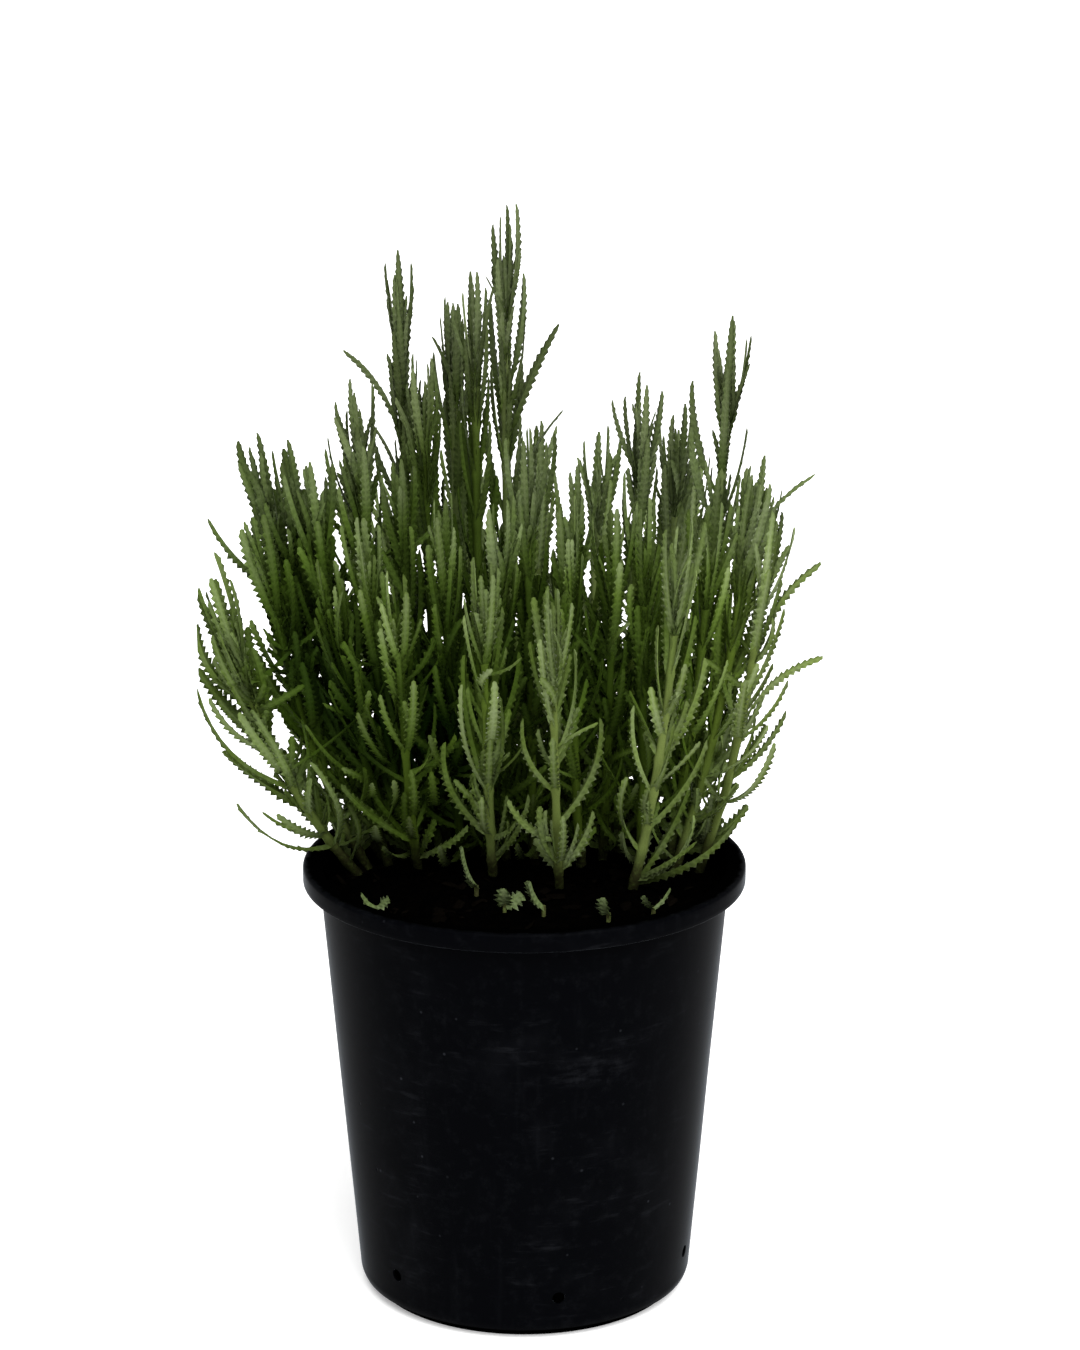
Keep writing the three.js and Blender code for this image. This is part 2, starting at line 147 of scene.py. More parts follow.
class Shape:
    """Vertices, faces of three or more corners, and values per vertex, gathered from several shapes."""

    def __init__(self):
        self.points, self.faces, self.values, self.count = [], [], {}, 0

    def join(self, points, faces, **values):
        """Adds points, blocks of faces and a value, or an array of values, for each of the points."""
        points = points.reshape(-1, 3)
        self.points.append(points)
        self.faces += [np.asarray(block) + self.count for block in faces]
        for name, value in values.items():
            size = (len(points), 2) if name == "uv" else len(points)
            self.values.setdefault(name, []).append(np.broadcast_to(np.asarray(value, float), size))
        self.count += len(points)

    def piece(self, name, material, slot, replaced, crease=None):
        """The shape as one mesh piece, with its values as attributes and uv as its UV map."""
        mesh = bpy.data.meshes.new(name)
        points = np.concatenate(self.points)
        totals = np.concatenate([np.full(len(block), block.shape[1]) for block in self.faces])
        corners = np.concatenate([block.ravel() for block in self.faces])
        mesh.vertices.add(len(points))
        mesh.vertices.foreach_set("co", points.ravel())
        mesh.loops.add(len(corners))
        mesh.loops.foreach_set("vertex_index", corners)
        mesh.polygons.add(len(totals))
        mesh.polygons.foreach_set("loop_start", np.cumsum(totals) - totals)
        mesh.polygons.foreach_set("use_smooth", np.ones(len(totals), bool))
        mesh.update(calc_edges=True)
        for key, blocks in self.values.items():
            value = np.concatenate(blocks)
            if key == "uv":
                layer = mesh.uv_layers.new(name="blade")
                layer.uv.foreach_set("vector", value[corners].ravel())
            else:
                layer = mesh.attributes.new(key, "FLOAT", "POINT")
                layer.data.foreach_set("value", value)
        if crease:
            mesh.set_sharp_from_angle(angle=math.radians(crease))
        return finished(mesh, name, material, replaced)


def in_scene(name, data):
    """A new object in the scene, at the origin."""
    thing = bpy.data.objects.new(name, data)
    bpy.context.scene.collection.objects.link(thing)
    return thing


def finished(mesh, name, material, replaced):
    """Puts a mesh into the scene as a piece of the root body that stands for the CAD nodes it replaces."""
    if mesh.validate():
        raise RuntimeError(f"{name} has a face that isn't sound")
    piece = in_scene(name, mesh)
    mesh.materials.append(material)
    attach(piece, BODY)
    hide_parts(*replaced)
    return piece


# ---- finishes from shader nodes ----
class Value:
    """A socket that carries a number. Arithmetic on it adds Math nodes."""

    def __init__(self, finish, socket):
        self.finish, self.socket = finish, socket

    def math(self, operation, *others):
        """The operation on this number and the others."""
        return self.finish.math(operation, self, *others)

    def __add__(self, other):
        return self.math("ADD", other)

    def __mul__(self, other):
        return self.math("MULTIPLY", other)

    def __sub__(self, other):
        return self.math("SUBTRACT", other)

    def __rsub__(self, other):
        return self.finish.math("SUBTRACT", other, self)

    def __abs__(self):
        return self.math("ABSOLUTE")

    __radd__ = __add__
    __rmul__ = __mul__

    def step(self, low, high):
        """0 below low and 1 above high, smooth in between. Turned round where low is above high."""
        if low > high:
            return 1 - self.step(high, low)
        settings = {"interpolation_type": "SMOOTHSTEP"}
        inputs = {"Value": self, "From Min": low, "From Max": high}
        return Value(self.finish, self.finish.add("ShaderNodeMapRange", settings, inputs).outputs["Result"])

    def at_most(self, other):
        """The smaller of the two."""
        return self.math("MINIMUM", other)


class Finish:
    """A material and the nodes that give its colour, roughness and relief."""

    def __init__(self, name):
        self.material = bpy.data.materials.new(name)
        self.material.use_nodes = True
        self.tree = self.material.node_tree
        self.tree.nodes.clear()

    def add(self, kind, settings=None, inputs=None):
        """A node of any kind, with its settings and then the value or link of each named socket."""
        node = self.tree.nodes.new(kind)
        for name, setting in (settings or {}).items():
            setattr(node, name, setting)
        for name, value in (inputs or {}).items():
            if isinstance(value, Value):
                value = value.socket
            if isinstance(value, bpy.types.NodeSocket):
                self.tree.links.new(value, node.inputs[name])
            else:
                node.inputs[name].default_value = value
        return node

    def math(self, operation, *numbers):
        """A Math node on one, two or three numbers."""
        node = self.add("ShaderNodeMath", {"operation": operation}, dict(enumerate(numbers)))
        return Value(self, node.outputs[0])

    def attribute(self, name):
        """A value that the mesh holds for each vertex."""
        return Value(self, self.add("ShaderNodeAttribute", {"attribute_name": name}).outputs["Fac"])

    def place(self):
        """Where a point lies in the object, in metres."""
        return self.add("ShaderNodeTexCoord").outputs["Object"]

    def split(self, vector):
        """The x, y and z of a vector."""
        node = self.add("ShaderNodeSeparateXYZ", None, {0: vector})
        return [Value(self, socket) for socket in node.outputs]

    def noise(self, size, detail=2, roughness=0.5, place=None):
        """Smooth blotches of about the given size in metres, from 0 to 1."""
        inputs = {"Vector": place or self.place(), "Scale": 1 / size}
        inputs.update({"Detail": detail, "Roughness": roughness})
        return Value(self, self.add("ShaderNodeTexNoise", None, inputs).outputs["Fac"])

    def cells(self, size):
        """The distance from the middle of each cell of the given size in metres, over that size."""
        inputs = {"Vector": self.place(), "Scale": 1 / size}
        return Value(self, self.add("ShaderNodeTexVoronoi", None, inputs).outputs["Distance"])

    def mix(self, share, first, second, blend="MIX"):
        """From the first colour to the second as share goes from 0 to 1."""
        settings = {"data_type": "RGBA", "blend_type": blend}
        return self.add("ShaderNodeMix", settings, {0: share, 6: first, 7: second}).outputs[2]

    def multiply(self, share, first, second):
        """From the first colour to its product with the second as share goes from 0 to 1."""
        return self.mix(share, first, second, "MULTIPLY")

    def shader(self, colour, roughness, height=None, depth=0.0, **fixed):
        """The Principled shader, with a relief of the given depth in metres where height is given."""
        inputs = {"Base Color": colour, "Roughness": roughness}
        if height is not None:
            bump = self.add("ShaderNodeBump", None, {"Height": height, "Distance": depth, "Strength": 1.0})
            inputs["Normal"] = bump.outputs["Normal"]
        inputs.update({name.replace("_", " "): value for name, value in fixed.items()})
        return self.add("ShaderNodeBsdfPrincipled", None, inputs).outputs[0]

    def surface(self, shader):
        """The finished material, with the shader as its surface."""
        self.add("ShaderNodeOutputMaterial", None, {"Surface": shader})
        return self.material


def colour_of(group, name):
    """A colour that the user may change, with its alpha."""
    return (*getattr(group, name), 1.0)


# ---- reading the shoots ----
class Leaves:
    """Leaves by their foot, the centre of their widest ring and their tip, and the unit way across them.

    Age goes from 0 at the top of the plant to 1 at the mix. Tone is random, from 0 to 1.
    """

    FIELDS = ("foot", "middle", "tip", "across", "width", "age", "tone")

    def __init__(self, **fields):
        for name in self.FIELDS:
            setattr(self, name, np.asarray(fields[name], float))

    def __len__(self):
        return len(self.foot)

    def chosen(self, which):
        """The leaves that a mask or a list of numbers picks."""
        return Leaves(**{name: getattr(self, name)[which] for name in self.FIELDS})

    def length(self):
        """From the foot to the middle and on to the tip."""
        low, high = self.middle - self.foot, self.tip - self.middle
        return np.linalg.norm(low, axis=1) + np.linalg.norm(high, axis=1)


def merged_triangles(node):
    """A CAD node's corner points, each once, and its triangles as three numbers of those points."""
    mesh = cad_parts[node].data
    places = np.empty(len(mesh.vertices) * 3)
    mesh.vertices.foreach_get("co", places)
    corners = np.empty(len(mesh.loops), int)
    mesh.loops.foreach_get("vertex_index", corners)
    micrometres = np.round(places.reshape(-1, 3)[corners] * 1e6).astype(int)
    points, numbers = np.unique(micrometres, axis=0, return_inverse=True)
    return points * 1e-6, numbers.reshape(-1, 3)


def leaves_of(node, tip_edge, cone):
    """Finds a node's leaves from its triangles.

    A leaf's tip is a point with three long edges that lie close together. They lead to the leaf's widest
    ring. The planes of the three faces on the ring's other side meet at the leaf's foot. The ring's longest
    side is the way across, and its third point is the keel, on the underside.
    """
    points, triangles = merged_triangles(node)
    start = triangles.ravel()
    end = triangles[:, [1, 2, 0]].ravel()
    third = triangles[:, [2, 0, 1]].ravel()
    opposite = {pair: corner for pair, corner in zip(zip(start.tolist(), end.tolist()), third.tolist())}
    order = np.argsort(start, kind="stable")
    degree = np.bincount(start, minlength=len(points))
    first = np.cumsum(degree) - degree
    tips = np.flatnonzero(degree == 3)
    rings = end[order][first[tips][:, None] + np.arange(3)]
    edges = points[rings] - points[tips][:, None]
    lengths = np.linalg.norm(edges, axis=-1)
    ways = edges / lengths[..., None]
    spread = np.einsum("lij,lkj->lik", ways, ways).min(axis=(1, 2))
    real = (lengths.min(axis=1) > tip_edge) & (spread > cone)
    tips, rings = tips[real], rings[real]

    feet = []
    for tip, ring in zip(tips.tolist(), rings.tolist()):
        normals, offsets = [], []
        for one, other in itertools.permutations(ring, 2):
            beyond = opposite.get((one, other))
            if beyond in (None, tip):
                continue
            normal = np.cross(points[other] - points[one], points[beyond] - points[one])
            normal /= np.linalg.norm(normal)
            normals.append(normal)
            offsets.append(normal @ points[one])
        feet.append(np.linalg.solve(normals, offsets))
    feet = np.array(feet)

    ring = points[rings]
    sides = np.stack([ring[:, 1] - ring[:, 0], ring[:, 2] - ring[:, 1], ring[:, 0] - ring[:, 2]], axis=1)
    longest = np.linalg.norm(sides, axis=-1).argmax(axis=1)
    each = np.arange(len(ring))
    left, right = ring[each, longest], ring[each, (longest + 1) % 3]
    keel = ring[each, (longest + 2) % 3]
    middle = (left + right) / 2
    across = right - left
    along = points[tips] - feet
    flipped = np.einsum("ij,ij->i", np.cross(across, along), middle - keel) < 0
    across[flipped] *= -1
    width = np.linalg.norm(across, axis=1)
    return Leaves(foot=feet, middle=middle, tip=points[tips], across=across / width[:, None], width=width,
                  age=np.zeros(len(feet)), tone=np.zeros(len(feet)))


def stem_path(node, leaves):
    """A stem's points from the middle of its lowest face up through the feet of its leaves."""
    points, _ = merged_triangles(node)
    lowest = points[np.argsort(points[:, 2])[:4]].mean(axis=0)
    feet = leaves.foot[np.argsort(leaves.foot[:, 2])]
    kept = [lowest]
    for foot in feet:
        if np.linalg.norm(foot - kept[-1]) > 5 * MM:
            kept.append(foot)
    if len(kept) == 1:
        kept.append(feet[-1])
    return np.array(kept)


class CrowdShade:
    """Painted shade: how far inside the plant a point lies, by a sum of bell curves of its distance to each
    leaf.

    It goes from 0 at the open share of the leaves to 1 at the dense share, and less high up.
    """

    OPEN, DENSE = 24, 97  # percentiles of the leaves' own sums

    def __init__(self, middles):
        self.middles = middles
        counts = self.count(middles)
        self.open, self.dense = np.percentile(counts, [self.OPEN, self.DENSE])

    def count(self, points):
        """The sum for a point a little above each point and further out, where its light comes from."""
        ahead = points + np.array([0, 0, 6 * MM]) + unit(points * [1, 1, 0] + [0, 0, 1e-9]) * 4 * MM
        distance = np.linalg.norm(ahead[..., None, :] - self.middles, axis=-1)
        return np.exp(-((distance / CROWD_REACH) ** 2)).sum(axis=-1)

    def depth(self, points):
        """The painted shade at each point: the smooth step of its sum from open to dense, times 1.08 low down
        and 0.7 high up.
        """
        thinning = 1.08 - 0.38 * smooth_step(170 * MM, 240 * MM, points[..., 2])
        return smooth_step(self.open, self.dense, self.count(points)) * thinning


# ---- one leaf ----
def blade_template(teeth, notch_depth, taper):
    """A leaf laid flat: shares along, across and up for each vertex, and its faces.

    Its half width is 1, less a square law towards the foot and one towards the tip. Each side has a notch at
    every pitch and the point of a tooth between two notches, all on the plane from the keel to the margin.
    Every second notch has a groove over the midrib and a keel under it, so one face above and one face below
    span two teeth. The last row closes on a rounded end of three vertices.
    """
    notch = np.linspace(0, BLADE_END, teeth + 1)
    pitch = notch[1]
    half = 1 - 0.5 * np.clip(1 - notch / 0.3, 0, 1) ** 2 - taper * np.clip((notch - 0.5) / 0.5, 0, 1) ** 2
    fading = 1 - 0.4 * smooth_step(0.75, BLADE_END, notch)
    inset = 1 - notch_depth * smooth_step(0.02, 0.2, notch) * fading
    rows, flat = notch[::2], np.zeros(teeth // 2 + 1)
    tooth = (half[1:] + half[:-1]) / 2
    point = notch[:-1] + 0.7 * pitch

    def sloped(along, across):
        """Points on the planes that rise from the keel to both margins."""
        return np.stack([along, across, KEEL + (MARGIN - KEEL) * np.abs(across)], axis=-1)

    end = half[-1]
    points = np.concatenate([
        np.stack([rows, flat, flat], axis=-1),
        np.stack([rows, flat, KEEL * half[::2]], axis=-1),
        sloped(notch, -inset * half), sloped(notch, inset * half),
        sloped(point, -tooth), sloped(point, tooth),
        [[0.993, -0.55 * end, MARGIN], [1.0, 0.0, MARGIN], [0.993, 0.55 * end, MARGIN]],
    ])
    sizes = [len(rows), len(rows), teeth + 1, teeth + 1, teeth, teeth, 3]
    starts = np.cumsum([0, *sizes])
    groove, rib, left, right, left_tip, right_tip, cap = (
        np.arange(start, start + size) for start, size in zip(starts, sizes))

    def faces(*corners):
        """Faces from one column of vertex numbers for each corner."""
        return np.stack(np.broadcast_arrays(*corners), axis=-1).reshape(-1, len(corners))

    blocks = [
        faces(groove[:-1], right[:-2:2], right[1::2], right[2::2], groove[1:]),
        faces(groove[:-1], groove[1:], left[2::2], left[1::2], left[:-2:2]),
        faces(right[:-1], right_tip, right[1:]),
        faces(left[:-1], left[1:], left_tip),
        faces(rib[:-1], rib[1:], right[2::2], right_tip[1::2], right[1::2], right_tip[::2], right[:-2:2]),
        faces(rib[:-1], left[:-2:2], left_tip[::2], left[1::2], left_tip[1::2], left[2::2], rib[1:]),
        faces(right[0], groove[0], left[0], rib[0]),
        faces(groove[-1], right[-1], cap[2], cap[1]),
        faces(groove[-1], cap[1], cap[0], left[-1]),
        faces(rib[-1], cap[1], cap[2], right[-1]),
        faces(rib[-1], left[-1], cap[0], cap[1]),
    ]
    under = np.zeros(len(points))
    under[rib] = 1
    return points, blocks, under


def add_blades(shape, leaves, teeth, cut, random, crowd):
    """Bends the flat leaf along each leaf's own spine.

    The spine is the quadratic through the foot, the ring's centre and the tip. Across it lies the ring's own
    way, made square to the spine and turned a little more towards the tip. Up is square to both.
    """
    if not len(leaves):
        return
    flat, faces, under = blade_template(teeth, *cut)
    count, size = len(leaves), len(flat)
    along = flat[:, 0][None] + np.zeros((count, 1))
    across = flat[:, 1] * random.normal(1, 0.03, (count, size))
    fold = random.normal(-0.36, 0.16, (count, 1))
    outer = np.abs(flat[:, 1])
    height = flat[:, 2] + fold * outer + random.normal(0, 0.06, (count, size)) * (outer > 0.5)
    m = LEAF_MIDDLE
    t = along[..., None]
    foot, middle, tip = (value[:, None] for value in (leaves.foot, leaves.middle, leaves.tip))
    spine = foot * (t - m) * (t - 1) / m + middle * t * (t - 1) / (m * (m - 1)) + tip * t * (t - m) / (1 - m)
    slope = foot * (2 * t - m - 1) / m + middle * (2 * t - 1) / (m * (m - 1)) + tip * (2 * t - m) / (1 - m)
    ahead = unit(slope)
    side = leaves.across[:, None] - ahead * np.einsum("lvj,lj->lv", ahead, leaves.across)[..., None]
    side = unit(side)
    up = np.cross(side, ahead)
    roll, more = random.normal(0, TWIST, (2, count, 1))
    sideways = leaves.across[:, 1:2]
    opening = 0.7 * np.sign(sideways) * smooth_step(0.55, 1, np.abs(sideways))
    roll += opening * random.uniform(0.2, 1, (count, 1))
    turn = (roll * smooth_step(0, m, along) + more * (along - m))[..., None]
    side, up = side * np.cos(turn) + up * np.sin(turn), up * np.cos(turn) - side * np.sin(turn)
    half = leaves.width[:, None, None] / 2
    points = spine + side * half * across[..., None] + up * half * height[..., None]
    points = np.clip(points, *CAD_BOX)

    offset = (np.arange(count) * size)[:, None, None]
    blocks = [(block[None] + offset).reshape(-1, block.shape[1]) for block in faces]
    # painted shade at each leaf's foot, middle and tip, and more at the feet of the leaves high up
    deep = [crowd.depth(place)[:, None] for place in (leaves.foot, leaves.middle, leaves.tip)]
    deep[0] = np.maximum(deep[0], 0.5 * smooth_step(215 * MM, 275 * MM, leaves.foot[:, 2:]))
    low, high = np.clip(along / m, 0, 1), np.clip((along - m) / (1 - m), 0, 1)
    deep = deep[0] * (1 - low) + deep[1] * (low - high) + deep[2] * high
    uv = np.stack([across + np.zeros((count, size)), along * teeth / BLADE_END], axis=-1)
    spread = np.ones((count, size))
    shape.join(points, blocks, uv=uv.reshape(-1, 2), tone=(leaves.tone[:, None] * spread).ravel(),
               age=(leaves.age[:, None] * spread).ravel(), stem=0.0, under=(under * spread).ravel(),
               deep=deep.ravel())


def add_leaves(shape, leaves, pitch, random, crowd):
    """All leaves, in groups of an equal number of teeth and the same cut."""
    teeth = 2 * np.clip(np.round(leaves.length() * BLADE_END / pitch / 2), 2, 8).astype(int)
    high = leaves.foot[:, 2] > HIGH_LEAF
    for number in np.unique(teeth):
        for cut, which in ((LOW_CUT, ~high), (HIGH_CUT, high)):
            add_blades(shape, leaves.chosen((teeth == number) & which), int(number), cut, random, crowd)


# ---- stems ----
def smooth_path(points, steps):
    """A Catmull-Rom curve through the points, with its way ahead at each of its points."""
    ends = np.concatenate([[2 * points[0] - points[1]], points, [2 * points[-1] - points[-2]]])
    share = np.linspace(0, 1, steps, endpoint=False)[:, None]
    parts = []
    for a, b, c, d in zip(ends, ends[1:], ends[2:], ends[3:]):
        parts.append(0.5 * (2 * b + (c - a) * share + (2 * a - 5 * b + 4 * c - d) * share**2
                            + (3 * b - a - 3 * c + d) * share**3))
    path = np.concatenate([*parts, points[-1:]])
    return path, unit(np.gradient(path, axis=0))


def add_stem(shape, points, low_radius, high_radius, swelling, tone, crowd, turn):
    """A square stem with rounded edges.

    Its section has two corners close together at each edge. Its radius goes from low to high along the stem
    and swells at each point that it is carried through, which is where a pair of leaves joins it.
    """
    steps = 6
    path, ahead = smooth_path(points, steps)
    run = np.concatenate([[0], np.cumsum(np.linalg.norm(np.diff(path, axis=0), axis=1))])
    joints = run[::steps][1:]
    reference = np.array([math.cos(turn), math.sin(turn), 0.0])
    side = unit(reference - ahead * (ahead @ reference)[:, None])
    other = np.cross(ahead, side)
    share = run / run[-1]
    radius = low_radius + (high_radius - low_radius) * share
    radius = radius + swelling * np.exp(-(((run[:, None] - joints) / (1.7 * MM)) ** 2)).max(axis=1)
    corner = np.arange(8)
    angle = (corner // 2) * math.pi / 2 + math.pi / 4 + np.where(corner % 2, 0.27, -0.27)
    ring = np.cos(angle)[:, None] * side[:, None] + np.sin(angle)[:, None] * other[:, None]
    grid = path[:, None] + radius[:, None, None] * ring
    uv = np.stack(np.broadcast_arrays(angle / math.pi, run[:, None] / (10 * MM)), axis=-1)
    # painted shade along the stem, from the leaves crowded around it
    age, deep = (np.repeat(value, len(corner)) for value in (age_at(path), crowd.depth(path)))
    shape.join(grid, tube_faces(len(path), len(corner)), uv=uv.reshape(-1, 2), tone=tone, age=age, stem=1.0,
               under=0.0, deep=deep)


# ---- shoots ----
def age_at(points):
    """1 at the potting mix and 0 at the top of the plant, by height."""
    return 1 - smooth_step(MIX_TOP, PLANT_TOP - 40 * MM, points[..., 2])


def small_leaves(anchor, way, across, length, width, bend, tone):
    """Leaves worked out from a foot, a way ahead and a length, that arch by bend towards their upper side."""
    way = unit(way)
    across = unit(across - way * (across * way).sum(-1, keepdims=True))
    tip = anchor + way * length[:, None]
    middle = anchor + way * length[:, None] * LEAF_MIDDLE - np.cross(across, way) * (bend * length)[:, None]
    age = age_at(anchor)
    return Leaves(foot=anchor, middle=middle, tip=tip, across=across, width=width, age=age, tone=tone)


def facing_in(across, way, out):
    """The ways across, each turned round where its leaf's upper side would face outwards."""
    return across * np.where(np.einsum("ij,ij->i", np.cross(across, way), out) > 0, -1, 1)[:, None]


def turned(vectors, axis, angle):
    """Vectors turned about an axis k by an angle a: v cos a + (k x v) sin a + k (k.v)(1 - cos a)."""
    cos, sin = np.cos(angle)[:, None], np.sin(angle)[:, None]
    along = np.einsum("ij,ij->i", vectors, axis)[:, None]
    return vectors * cos + np.cross(axis, vectors) * sin + axis * along * (1 - cos)


def kept_inside(leaves):
    """The same leaves, each made shorter by one share so that its middle and tip lie inside the CAD's box."""
    low, high = np.array(CAD_BOX) + np.array([[1.5], [-1.5]]) * MM
    share = np.ones(len(leaves))
    for place in (leaves.middle, leaves.tip):
        run = place - leaves.foot
        room = np.where(run > 0, high, low) - leaves.foot
        fit = np.where(np.abs(run) > 1e-6, room / np.where(np.abs(run) > 1e-6, run, 1), 1).min(axis=1)
        share = np.minimum(share, np.clip(fit, 0.2, 1))
    leaves.middle = leaves.foot + (leaves.middle - leaves.foot) * share[:, None]
    leaves.tip = leaves.foot + (leaves.tip - leaves.foot) * share[:, None]
    return leaves


def fullness(places):
    """How much extra growth a place holds: 1 inside the plant, less in the front row, right and high up."""
    across, back, height = places.T
    front = smooth_step(-20 * MM, -36 * MM, back) * smooth_step(60 * MM, 45 * MM, np.abs(across))
    right = 0.7 * smooth_step(30 * MM, 60 * MM, across)
    high = 0.8 * smooth_step(185 * MM, 225 * MM, height)
    return 1 - np.maximum(0.75 * front, 0.5 * np.maximum(right, high))


def cross_leaves(leaves, stem_way, sizes, random):
    """A second pair at a node: the node's own leaves turned a quarter round the stem and made shorter."""
    which = random.uniform(size=len(leaves)) < sizes.cross_share * fullness(leaves.foot)
    chosen, axis = leaves.chosen(which), stem_way[which]
    count = len(chosen)
    angle = math.pi / 2 + random.normal(0, 0.25, count)
    share = random.uniform(0.6, 0.95, (count, 1))
    foot = chosen.foot + axis * random.uniform(-1, 1.5, (count, 1)) * MM
    upper = smooth_step(200 * MM, 270 * MM, chosen.foot[:, 2:])
    spread = random.uniform(0.65, 1.25, (count, 1)) - 0.45 * upper

    def placed(run):
        """The run out from the foot, turned, with its part square to the stem made smaller by spread."""
        along = axis * np.einsum("ij,ij->i", run, axis)[:, None]
        return foot + turned((along + (run - along) * spread) * share, axis, angle)

    middle, tip = placed(chosen.middle - chosen.foot), placed(chosen.tip - chosen.foot)
    width = chosen.width * random.uniform(0.8, 1, count)
    return Leaves(foot=foot, middle=middle, tip=tip, across=turned(chosen.across, axis, angle), width=width,
                  age=chosen.age, tone=random.uniform(0, 1, count))


def axil_leaves(leaves, stem_way, sizes, random):
    """The pair of small leaves that stands between a leaf and the stem, in a share of the axils."""
    low = smooth_step(75 * MM, 20 * MM, leaves.foot[:, 2] - MIX_TOP)
    share = sizes.axil_share * (1 - 0.5 * low) * fullness(leaves.foot)
    which = random.uniform(size=len(leaves)) < share
    chosen, axis = leaves.chosen(which), stem_way[which]
    count = len(chosen)
    out = unit(chosen.tip - chosen.foot)
    made = []
    for side in (-1, 1):
        lean = random.uniform(0.35, 0.85, (count, 1))
        way = axis * (1 - lean) + out * lean + chosen.across * side * random.uniform(0.08, 0.4, (count, 1))
        anchor = chosen.foot + out * 1.2 * MM + axis * 1.0 * MM
        length = random.uniform(0.4, 0.8, count) * chosen.length()
        width = chosen.width * random.uniform(0.72, 0.95, count)
        across = chosen.across * random.choice((-1, 1), (count, 1)) + random.normal(0, 0.35, (count, 3))
        across = facing_in(across, way, out)
        tone, bend = random.uniform(0, 1, count), random.normal(0.05, 0.03, count)
        made.append(small_leaves(anchor, way, across, length, width, bend, tone))
    return made


def top_leaves(path, leaves, turn, random):
    """The bunch of upright leaves that closes a shoot, each about a quarter turn on from the last.

    None stands above the shoot's highest leaf.
    """
    tall = path[-1, 2] > TALL_SHOOT
    count, run, larger = (9, 26 * MM, 1.15) if tall else (6, 14 * MM, 1)
    way = unit(path[-1] - path[-2])
    anchor = path[-1] - way * random.uniform(0, run, (count, 1))
    out = level_way(turn + math.pi / 2 * np.arange(count) + random.normal(0, 0.3, count))
    lean = random.uniform(0.02, 0.17, (count, 1))
    ahead = unit(way * (1 - lean) + out * lean)
    across = facing_in(np.cross(out, ahead), ahead, out)
    room = (leaves.tip[:, 2].max() - anchor[:, 2]) * random.uniform(0.8, 0.99, count)
    length = np.minimum(random.uniform(20, 38, count) * larger * MM, room)
    width = random.uniform(3.6, 4.9, count) * larger * MM
    bend, tone = random.normal(-0.03, 0.03, count), random.uniform(0, 1, count)
    return small_leaves(anchor, ahead, across, length, width, bend, tone)


def side_leaves(path, sizes, random):
    """Leaves of side shoots low on a stem: each stands at a random height and turn, and leans well out.

    Most stand on the shoots that lean out on the left, then on those at the back, and fewest at the front.
    """
    share, reach = 1.25 if path[0, 1] > 0 else 0.25, 1
    if path[0, 0] > RIGHT_SHOOT:
        share = 0.5
    elif path[:, 0].min() < LEFT_SHOOT:
        share, reach = 1.6, 1.5
    count = int(sizes.side_leaves * share)
    low, high = MIX_TOP + 3 * MM, min(MIX_TOP + sizes.side_reach * reach, path[-1, 2])
    rows = np.linspace(path[0, 2], path[-1, 2], 60)
    spine = [np.interp(rows, path[:, 2], path[:, axis]) for axis in range(3)]
    height = random.uniform(low, high, count)
    anchor = np.stack([np.interp(height, rows, line) for line in spine], axis=-1)
    out = level_way(random.uniform(0, 2 * math.pi, count))
    lean = random.uniform(0.2, 0.68, (count, 1))
    way = unit(np.array([0, 0, 1]) * (1 - lean) + out * lean)
    across = facing_in(np.cross(out, way) + random.normal(0, 0.6, (count, 3)), way, out)
    length = random.uniform(18, 34, count) * MM
    far = np.linalg.norm((anchor + way * length[:, None])[:, :2], axis=1)
    length = length * np.clip(1 - (far - 62 * MM) / (22 * MM), 0.3, 1) * (1 - 0.3 * (anchor[:, 1] < -5 * MM))
    width = random.uniform(4.2, 5.8, count) * MM
    bend, tone = random.normal(0.06, 0.04, count), random.uniform(0, 1, count)
    return small_leaves(anchor, way, across, length, width, bend, tone)


def draw_in(leaves, stem_way):
    """Brings the leaves near the plant's top closer to the stem, by a share of their run square to it."""
    share = 0.5 * smooth_step(262 * MM, 300 * MM, leaves.foot[:, 2:])
    for field in ("middle", "tip"):
        run = getattr(leaves, field) - leaves.foot
        along = stem_way * np.einsum("ij,ij->i", run, stem_way)[:, None]
        setattr(leaves, field, leaves.foot + run - (run - along) * share)


def add_stem_and_leaves(shape, path, leaves, turn, crowd, sizes, random):
    """A full-grown shoot: its stem, its own leaves and the four kinds of further leaves."""
    low, high = sizes.stem_low / 2, sizes.stem_high / 2
    add_stem(shape, path, low, high, 0.35 * MM, random.uniform(), crowd, turn)
    near = np.linalg.norm(leaves.foot[:, None] - path, axis=-1).argmin(axis=1)
    stem_way = unit(np.gradient(path, axis=0))[near]
    draw_in(leaves, stem_way)
    crossed = cross_leaves(leaves, stem_way, sizes, random)
    further = [crossed, *axil_leaves(leaves, stem_way, sizes, random)]
    further += [top_leaves(path, leaves, turn, random), side_leaves(path, sizes, random)]
    for group in (leaves, *further):
        outer = smooth_step(-62 * MM, -80 * MM, group.tip[:, 0])
        upper = smooth_step(215 * MM, 270 * MM, group.foot[:, 2])
        group.width = group.width * sizes.leaf_width * (1 + 0.15 * outer - 0.18 * upper)
        group = leaves if group is leaves else kept_inside(group)
        add_leaves(shape, group, sizes.tooth_pitch, random, crowd)


